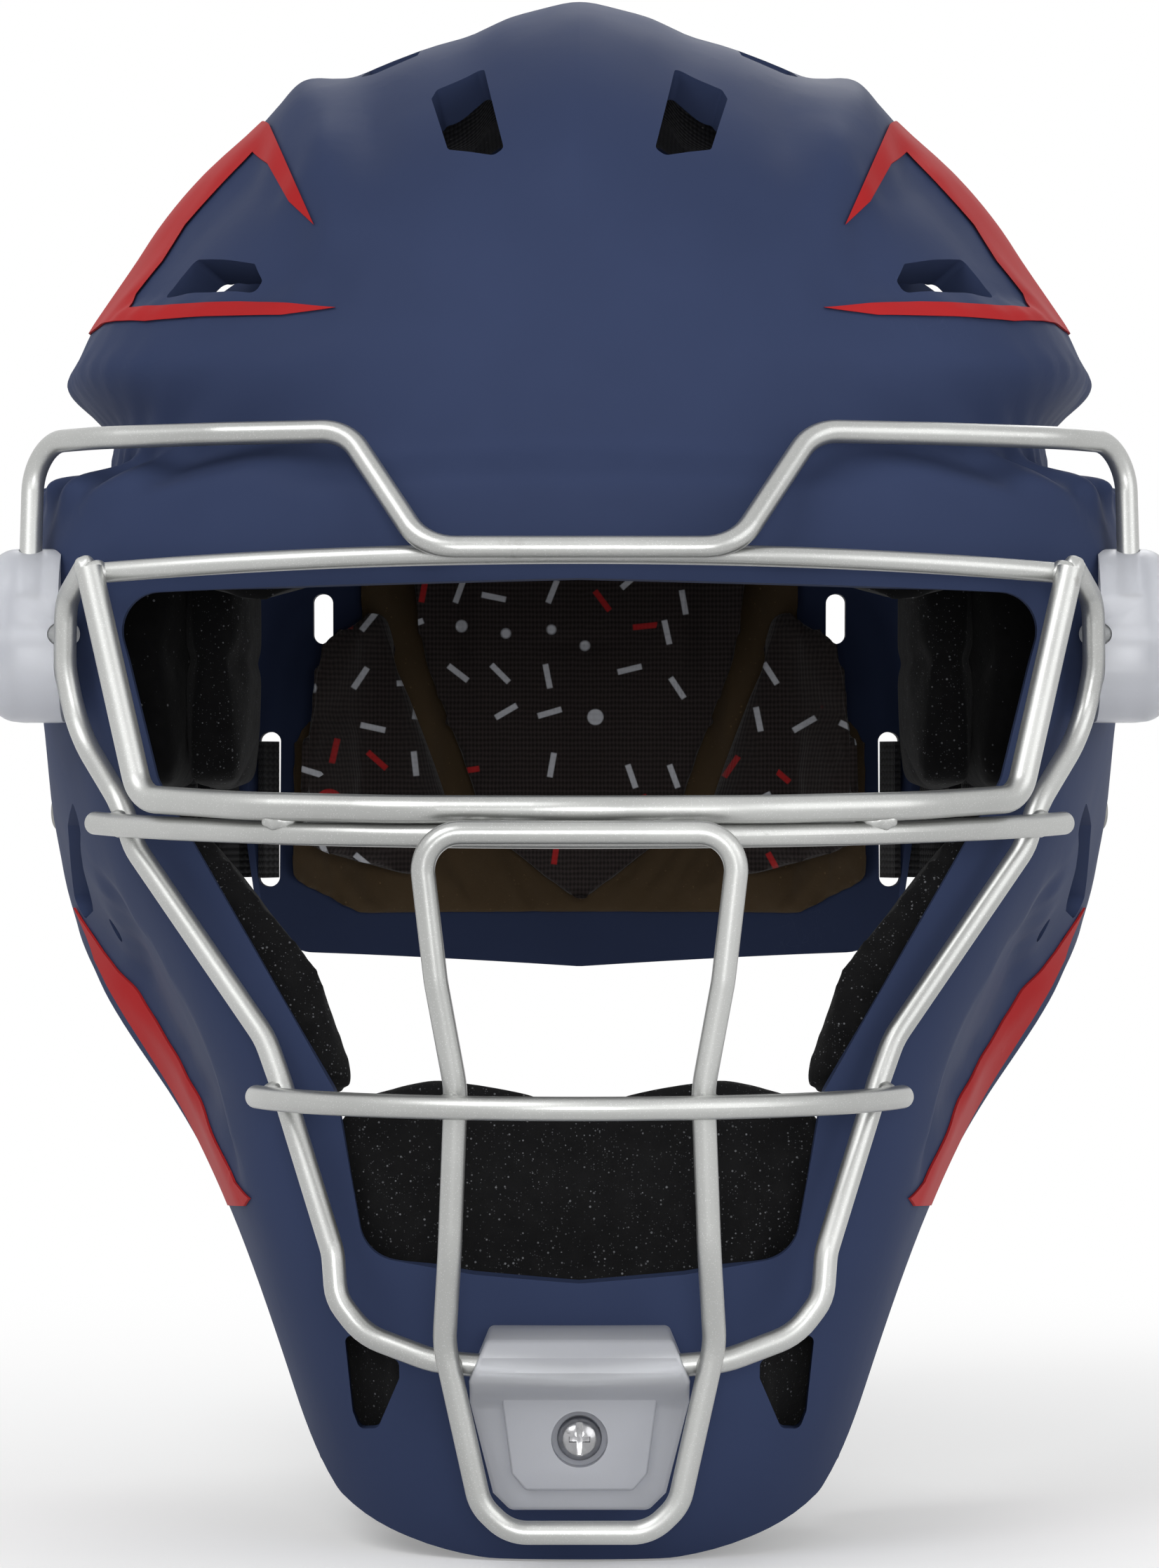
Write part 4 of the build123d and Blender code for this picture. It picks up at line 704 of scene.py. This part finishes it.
# The raised middle in the same way
PANEL_SIDE = ((-131, 16.4), (-137.4, 16.4), (-138.6, 40.0), (-131, 40.0))
PANEL_REACH = 15.9
PANEL_ROUNDING = 0.6
PANEL_CUTS = (((15.8, 38.0), (17.5, -2.3)), ((12.2, 18.3), (4.1, -3.4)))
# The round hollow that the chin screw sits in: its radius, and how far forward its cutter's middle lies
HOLLOW_RADIUS = 5.6
HOLLOW_DEPTH = 20
HOLLOW_MIDDLE_Y = -143.8
# The domed head of the chin screw, behind the front of the CAD screw
DOME_RADIUS = 4.45
DOME_RISE = 3.1
DOME_SINK = 1.2
DOME_BACK = 1.0
DOME_ROUNDING = 0.14
# Its long slot and the short one across it, as wide by tall
DOME_SLOTS = ((1.15, 6.4), (4.2, 1.15))
SLOT_CUTTER = 3.2


def block(outline, near, far):
    """A block with an outline in Y and Z that reaches from near to far along X, all in millimetres."""
    fresh()
    bpy.ops.mesh.primitive_circle_add(vertices=len(outline), fill_type="NGON", radius=MM)
    piece = bpy.context.object
    for point, (y, z) in zip(piece.data.vertices, outline):
        point.co = Vector((near, y, z)) * MM
    move = {"value": ((far - near) * MM, 0, 0)}
    edit(piece, lambda: bpy.ops.mesh.extrude_region_move(TRANSFORM_OT_translate=move),
         lambda: bpy.ops.mesh.normals_make_consistent(inside=False))
    return piece


def cut_both_sides(piece, cuts):
    """Cuts a piece by slanting planes on its right and left."""
    for (x, z), (out_x, out_z) in cuts:
        for side in (1, -1):
            out = Vector((side * out_x, 0, out_z)).normalized()
            edit(piece, lambda: bpy.ops.mesh.bisect(plane_co=(side * x * MM, 0, z * MM), plane_no=out,
                                                    use_fill=True, clear_outer=True))


def combine(piece, other, operation):
    finish_with(piece, "BOOLEAN", operation=operation, object=other, solver="EXACT")
    bpy.data.objects.remove(other)


def chin_block(finish):
    """The clear clip on the chin: a hook over the wire and a plate with a raised middle and a hollow."""
    body = block(CLIP_SIDE, -CLIP_REACH, CLIP_REACH)
    cut_both_sides(body, CLIP_CUTS)
    round_edges(body, CLIP_ROUNDING * MM, 40, 4)
    panel = block(PANEL_SIDE, -PANEL_REACH, PANEL_REACH)
    cut_both_sides(panel, PANEL_CUTS)
    round_edges(panel, PANEL_ROUNDING * MM, 40)
    combine(body, panel, "UNION")
    low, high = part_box("chin_clip_screw")
    middle = (low[2] + high[2]) / 2
    fresh()
    bpy.ops.mesh.primitive_cylinder_add(vertices=48, radius=HOLLOW_RADIUS * MM, depth=HOLLOW_DEPTH * MM,
                                        location=(0, HOLLOW_MIDDLE_Y * MM, middle),
                                        rotation=(math.pi / 2, 0, 0))
    combine(body, bpy.context.object, "DIFFERENCE")
    return settle(body, "chin_clip_block", finish, 28)


def screw_dome(finish):
    """The domed head of the chin screw with its cross and its longer slot."""
    low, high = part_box("chin_clip_screw")
    middle = (low[2] + high[2]) / 2
    front = low[1]
    fresh()
    bpy.ops.mesh.primitive_uv_sphere_add(segments=48, ring_count=24, radius=1,
                                         scale=(DOME_RADIUS * MM, DOME_RISE * MM, DOME_RADIUS * MM),
                                         location=(0, front + DOME_SINK * MM, middle))
    dome = bpy.context.object
    bpy.ops.object.transform_apply(location=True, rotation=False, scale=True)
    edit(dome, lambda: bpy.ops.mesh.bisect(plane_co=(0, front + DOME_BACK * MM, 0), plane_no=(0, 1, 0),
                                           use_fill=True, clear_outer=True))
    for wide, tall in DOME_SLOTS:
        fresh()
        bpy.ops.mesh.primitive_cube_add(size=1, location=(0, front - SLOT_CUTTER / 2 * MM, middle),
                                        scale=(wide * MM, SLOT_CUTTER * MM, tall * MM))
        bpy.ops.object.transform_apply(location=True, rotation=False, scale=True)
        combine(dome, bpy.context.object, "DIFFERENCE")
    round_edges(dome, DOME_ROUNDING * MM, 50, 2)
    return settle(dome, "chin_screw_dome", finish, 35)


# Where the wires are welded, on the right side, in millimetres, and how far the bead reaches along X, Y and Z
# as a share of its half thickness
WELDS = (
    ((97.9, -109.0, 198.8), (1.2, 1.0, 1.1)),
    ((100.3, -107.6, 199.8), (1.0, 0.9, 1.1)),
    ((93.5, -106.8, 148.0), (1.0, 1.2, 1.2)),
    ((61.1, -124.6, 93.7), (1.0, 1.2, 1.2)),
    ((25.4, -141.8, 41.6), (1.0, 1.2, 1.1)),
    ((24.9, -160.4, 93.8), (1.1, 1.1, 1.1)),
    ((19.0, -160.6, 146.4), (1.7, 0.9, 0.7)),
    ((14.0, -158.8, 148.3), (1.7, 0.8, 0.9)),
    ((58.3, -144.7, 148.9), (1.8, 0.8, 0.9)),
    ((8.0, -131.8, 202.4), (1.8, 0.9, 0.8)),
)


# How uneven a bead is, as a share of its size, and how far apart its ripples are along X and Z in millimetres
BEAD_RIPPLE = 0.05
BEAD_PITCH_X = 0.42
BEAD_PITCH_Z = 0.6


def weld_bead(place, reach, radius):
    """A small uneven lump of weld at a place in millimetres."""
    fresh()
    middle = Vector(place) * MM
    bpy.ops.mesh.primitive_ico_sphere_add(subdivisions=4, radius=radius, location=middle, scale=reach)
    bead = bpy.context.object
    bpy.ops.object.transform_apply(location=True, rotation=False, scale=True)
    for point in bead.data.vertices:
        out = point.co - middle
        ripple = BEAD_RIPPLE * math.sin(out.x / (BEAD_PITCH_X * MM)) * math.cos(out.z / (BEAD_PITCH_Z * MM))
        point.co = middle + out * (0.96 + ripple)
    return bead


class HELMET_OT_cage(bpy.types.Operator):
    """Paint the cage wires silver and add the weld beads where they cross"""
    bl_idname = "helmet.cage"
    bl_label = "Wire Cage"

    def execute(self, context):
        finish = silver_paint(context.scene.helmet_colours.wire)
        for wire in ("brow_wire", "eye_frame", "eye_top_bar", "side_wire", "cheek_bar", "mouth_bar",
                     "centre_loop", "clip_pegs"):
            dress("cage_" + wire, finish)
        radius = context.scene.helmet_sizes.weld
        right = joined([weld_bead(place, reach, radius) for place, reach in WELDS], "cage_weld_beads")
        left = twin(right, "left_beads")
        beads = joined([right, left], "cage_weld_beads")
        settle(beads, "cage_weld_beads", finish)
        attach(beads, "helmet")
        return {"FINISHED"}


class HELMET_OT_clips(bpy.types.Operator):
    """Make the clips clear and plate the screws, nuts and rivets"""
    bl_idname = "helmet.clips"
    bl_label = "Clips"

    def execute(self, context):
        colours = context.scene.helmet_colours
        clear = clear_plastic(colours.clip)
        bright = plated_steel("Bright Screw Plating", colours.bright, 0.12, 0.24)
        zinc = plated_steel("Zinc Nut Plating", colours.zinc, 0.3, 0.45)
        for node in ("side_clip_right", "side_clip_left"):
            clip = eased(node, node + "_block", clear, context.scene.helmet_sizes.edge)
        clip = chin_block(clear)
        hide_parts("chin_clip")
        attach(clip, "helmet")
        for node in ("side_clip_screws", "chin_clip_screw"):
            dress(node, bright)
        dome = screw_dome(bright)
        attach(dome, "helmet")
        for node in ("side_clip_nuts", "chin_clip_nut", "side_strap_rivets", "top_strap_rivet"):
            dress(node, zinc)
        return {"FINISHED"}


class HELMET_OT_front_pads(bpy.types.Operator):
    """Model the brow, crown, chin and jaw pads"""
    bl_idname = "helmet.front_pads"
    bl_label = "Front Pads"

    def execute(self, context):
        colours, sizes = context.scene.helmet_colours, context.scene.helmet_sizes
        speckled = cut_foam("Speckled Black Foam", colours.foam, colours.speck, sizes.speck)
        knit = knit_cover("Knitted Pad Cover", colours.knit, sizes.knit)
        brow = pad_blank("brow_pad", sizes.foam_shrink)
        crown = pad_blank("crown_pad", sizes.foam_shrink, 3.2)
        chin = pad_blank("chin_pad", sizes.foam_shrink, 2.4)
        jaw = pad_blank("jaw_pad_right", sizes.thin_shrink, 1.5, 3, True)
        swell((brow, crown, chin, jaw), HEAD_MIDDLE, sizes)
        channels(brow, lambda x, y, z: min(abs(abs(x) - BROW_SEAM_X), abs(x)), 2.2, sizes.channel)
        channels(crown, lambda x, y, z: min(abs(abs(x) - CROWN_SEAM_X), abs(y - CROWN_SEAM_Y)), 2.6,
                 sizes.channel)
        channels(chin, lambda x, y, z: abs(abs(x) - CHIN_SEAM_X) + max(0.0, z - CHIN_SEAM_TOP) * 0.2, 2.0,
                 sizes.channel * 0.5)
        other = twin(jaw, "jaw_pad_left_soft")
        pad_done(brow, "brow_pad", speckled, "helmet")
        pad_done(crown, "crown_pad", knit, "helmet")
        pad_done(chin, "chin_pad", speckled, "helmet")
        pad_done(jaw, "jaw_pad_right", speckled, "helmet")
        pad_done(other, "jaw_pad_left", speckled, "helmet")
        return {"FINISHED"}


class HELMET_OT_temple_pads(bpy.types.Operator):
    """Model the blocks beside the ears"""
    bl_idname = "helmet.temple_pads"
    bl_label = "Temple Pads"

    def execute(self, context):
        colours, sizes = context.scene.helmet_colours, context.scene.helmet_sizes
        speckled = bpy.data.materials["Speckled Black Foam"]
        plain = cut_foam("Dark Temple Foam", [part * 0.75 for part in colours.foam], colours.speck,
                         sizes.speck * 1.4, 0.08)
        liner = pad_blank("temple_liner_right", sizes.thin_shrink, 2.0)
        pad = pad_blank("temple_pad_right", sizes.foam_shrink, 2.0)
        swell((liner, pad), HEAD_MIDDLE, sizes)
        channels(pad, lambda x, y, z: abs(z - TEMPLE_SEAM_Z), 2.2, sizes.channel * 0.6)
        for piece, finish, node in ((liner, plain, "temple_liner"), (pad, speckled, "temple_pad")):
            other = twin(piece, node + "_left_soft")
            pad_done(piece, node + "_right", finish, "helmet")
            pad_done(other, node + "_left", finish, "helmet")
        return {"FINISHED"}


class HELMET_OT_back_panel(bpy.types.Operator):
    """Finish the back plate and model its printed pads"""
    bl_idname = "helmet.back_panel"
    bl_label = "Back Panel"

    def execute(self, context):
        colours, sizes = context.scene.helmet_colours, context.scene.helmet_sizes
        dress("back_plate", moulded_plastic("Navy Plate Plastic", colours.shell, 0.5, 0.62))
        olive = cut_foam("Brown Rear Foam", colours.olive, [part * 1.8 for part in colours.olive],
                         sizes.speck * 1.2, 0.3)
        printed = printed_liner(colours, sizes)
        base = pad_blank("rear_pad_base", sizes.thin_shrink, 1.6, 4)
        centre = pad_blank("rear_pad_centre", sizes.foam_shrink, 2.2)
        side = pad_blank("rear_pad_right", sizes.foam_shrink, 2.0)
        swell((base, centre, side), REAR_FOCUS, sizes)
        channels(centre, lambda x, y, z: min(abs(x), abs(z - REAR_SEAM_Z)) + 0.2 * abs(x), 2.2, sizes.channel)
        other = twin(side, "rear_pad_left_soft")
        pad_done(base, "rear_pad_base", olive, "rear_panel")
        pad_done(centre, "rear_pad_centre", printed, "rear_panel")
        pad_done(side, "rear_pad_right", printed, "rear_panel")
        pad_done(other, "rear_pad_left", printed, "rear_panel")
        return {"FINISHED"}


def strap_piece(node, finish, along, low, high, step):
    """A strap from its CAD solid, cut across every few millimetres along a direction, so that its mesh has
    loops across it.
    """
    name = node + "_band"
    piece = copy_of(node, name)
    for place in range(low, high, step):
        edit(piece, lambda: bpy.ops.mesh.bisect(plane_co=along * place * MM, plane_no=along, use_fill=False))
    settle(piece, name, finish, 35)
    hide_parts(node)
    return piece


class HELMET_OT_straps(bpy.types.Operator):
    """Model the elastic straps and finish their sliders"""
    bl_idname = "helmet.straps"
    bl_label = "Straps"

    def execute(self, context):
        colours, sizes = context.scene.helmet_colours, context.scene.helmet_sizes
        back, up = Vector((0, 1, 0)), Vector((0, 0, 1))
        side = elastic_webbing("Side Strap Elastic", colours.elastic, sizes.rib, True)
        top = elastic_webbing("Top Strap Elastic", colours.elastic, sizes.rib, False)
        slider = moulded_plastic("Black Slider Plastic", colours.elastic, 0.35, 0.5)
        for node in ("side_strap_buckles", "top_strap_buckle"):
            dress(node, slider)
        piece = strap_piece("side_straps_front", side, back, -30, 60, 3)
        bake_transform(piece)
        piece = strap_piece("side_straps_rear", side, back, 50, 84, 2)
        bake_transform(piece)
        piece = strap_piece("top_strap_rear", top, up, 256, 284, 2)
        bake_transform(piece)
        piece = strap_piece("top_strap_front", top, up, 268, 306, 3)
        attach(piece, "helmet")
        return {"FINISHED"}


# The soft lights: their place and aim and their width in metres, and their power in watts
LAMPS = (
    ("key_light", (-0.9, -1.3, 1.5), (0, 0, 0.2), 1.3, 14),
    ("fill_light", (1.3, -1.2, 0.7), (0, 0, 0.15), 1.4, 7),
    ("back_light", (0.2, 1.4, 1.5), (0, 0, 0.2), 1.2, 10),
    ("front_light", (0.05, -1.7, 0.28), (0, 0, 0.16), 0.5, 6),
)
# The floor lies just below the helmet, and fades to white between these distances from the middle, in metres
FLOOR_SIZE = 6
FLOOR_DROP = 0.0005
FADE_FROM = 0.12
FADE_TO = 0.5
FLOOR_GLOW = 0.22


def seen_straight(work):
    """1 for what the camera sees straight, mirrored or through clear plastic, and 0 for other light."""
    path = work.add("ShaderNodeLightPath").outputs
    return work.sum("MAXIMUM", path["Is Camera Ray"],
                    work.sum("MAXIMUM", path["Is Glossy Ray"], path["Is Transmission Ray"]))


def lay_floor(colour):
    """A pale floor that keeps the shadow near the helmet and is plain white farther out."""
    bpy.ops.mesh.primitive_plane_add(size=FLOOR_SIZE, location=(0, 0, -FLOOR_DROP))
    floor = bpy.context.object
    material, work, shader, place = new_finish("Studio Floor", FLOOR)
    cloudy = work.noise(place, 3.0, 2.0)
    glow = seen_straight(work)
    reach = work.add("ShaderNodeVectorMath", {0: place}, operation="LENGTH").outputs["Value"]
    far = work.sum("MULTIPLY", work.band(reach, FADE_FROM, FADE_TO), glow)
    shade = work.blend(work.band(cloudy, 0.2, 0.8), *scaled(colour, 0.98, 1))
    feed(work, shader, work.blend(far, shade, BLACK), None, work.noise(place, 400.0, 2.0), 0.1, 0.1)
    lift = work.sum("MULTIPLY", glow, work.sum("MULTIPLY_ADD", far, 1 - FLOOR_GLOW, FLOOR_GLOW))
    shader.inputs["Emission Strength"].default_value = 1.0
    work.tree.links.new(work.blend(lift, BLACK, WHITE), shader.inputs["Emission Color"])
    settle(floor, "studio_floor", material)


class HELMET_OT_stage(bpy.types.Operator):
    """Add the floor, the soft lights, the sky and the camera"""
    bl_idname = "helmet.stage"
    bl_label = "Studio"

    def execute(self, context):
        scene = context.scene
        studio = scene.helmet_studio
        fresh()
        lay_floor(scene.helmet_colours.floor)

        world = bpy.data.worlds.new("Studio Sky")
        scene.world = world
        world.use_nodes = True
        sky = Tree(world.node_tree)
        backdrop = world.node_tree.nodes["Background"]
        backdrop.inputs["Color"].default_value = WHITE
        strength = sky.sum("MULTIPLY_ADD", seen_straight(sky), 1 - studio.world, studio.world)
        sky.tree.links.new(strength, backdrop.inputs["Strength"])

        for name, place, aim, size, watts in LAMPS:
            lamp = bpy.data.lights.new(name, "AREA")
            lamp.shape, lamp.size, lamp.energy = "DISK", size, watts * studio.key
            holder = bpy.data.objects.new(name, lamp)
            scene.collection.objects.link(holder)
            holder.location = place
            holder.rotation_euler = (Vector(aim) - Vector(place)).to_track_quat("-Z", "Y").to_euler()

        camera = bpy.data.cameras.new("studio_camera")
        camera.sensor_width = 36
        camera.lens = studio.lens
        camera.clip_start, camera.clip_end = 0.05, 20
        holder = bpy.data.objects.new("studio_camera", camera)
        scene.collection.objects.link(holder)
        holder.location = (0, -studio.distance, studio.height)
        holder.rotation_euler = (math.pi / 2, 0, 0)
        scene.camera = holder
        scene.view_settings.view_transform = "Standard"
        return {"FINISHED"}


class HELMET_PT_panel(bpy.types.Panel):
    """Lists the steps and the values they use"""
    bl_idname = "HELMET_PT_panel"
    bl_label = "Catcher Helmet"
    bl_space_type = "VIEW_3D"
    bl_region_type = "UI"
    bl_category = "Helmet"

    def draw(self, context):
        layout = self.layout
        for step in STEPS:
            layout.operator(step.bl_idname)
        for group in (context.scene.helmet_colours, context.scene.helmet_sizes, context.scene.helmet_studio):
            box = layout.box()
            for key in group.__annotations__:
                box.prop(group, key)


STEPS = (HELMET_OT_shell, HELMET_OT_stripes, HELMET_OT_cage, HELMET_OT_clips, HELMET_OT_front_pads,
         HELMET_OT_temple_pads, HELMET_OT_back_panel, HELMET_OT_straps, HELMET_OT_stage)
CLASSES = (HelmetColours, HelmetSizes, StudioSettings, *STEPS, HELMET_PT_panel)


def register():
    for kind in CLASSES:
        bpy.utils.register_class(kind)
    bpy.types.Scene.helmet_colours = bpy.props.PointerProperty(type=HelmetColours)
    bpy.types.Scene.helmet_sizes = bpy.props.PointerProperty(type=HelmetSizes)
    bpy.types.Scene.helmet_studio = bpy.props.PointerProperty(type=StudioSettings)


def unregister():
    del bpy.types.Scene.helmet_studio
    del bpy.types.Scene.helmet_sizes
    del bpy.types.Scene.helmet_colours
    for kind in reversed(CLASSES):
        bpy.utils.unregister_class(kind)


def main():
    register()
    for step in STEPS:
        group, name = step.bl_idname.split(".")
        getattr(getattr(bpy.ops, group), name)()
    fresh()


if __name__ == "__main__":
    main()
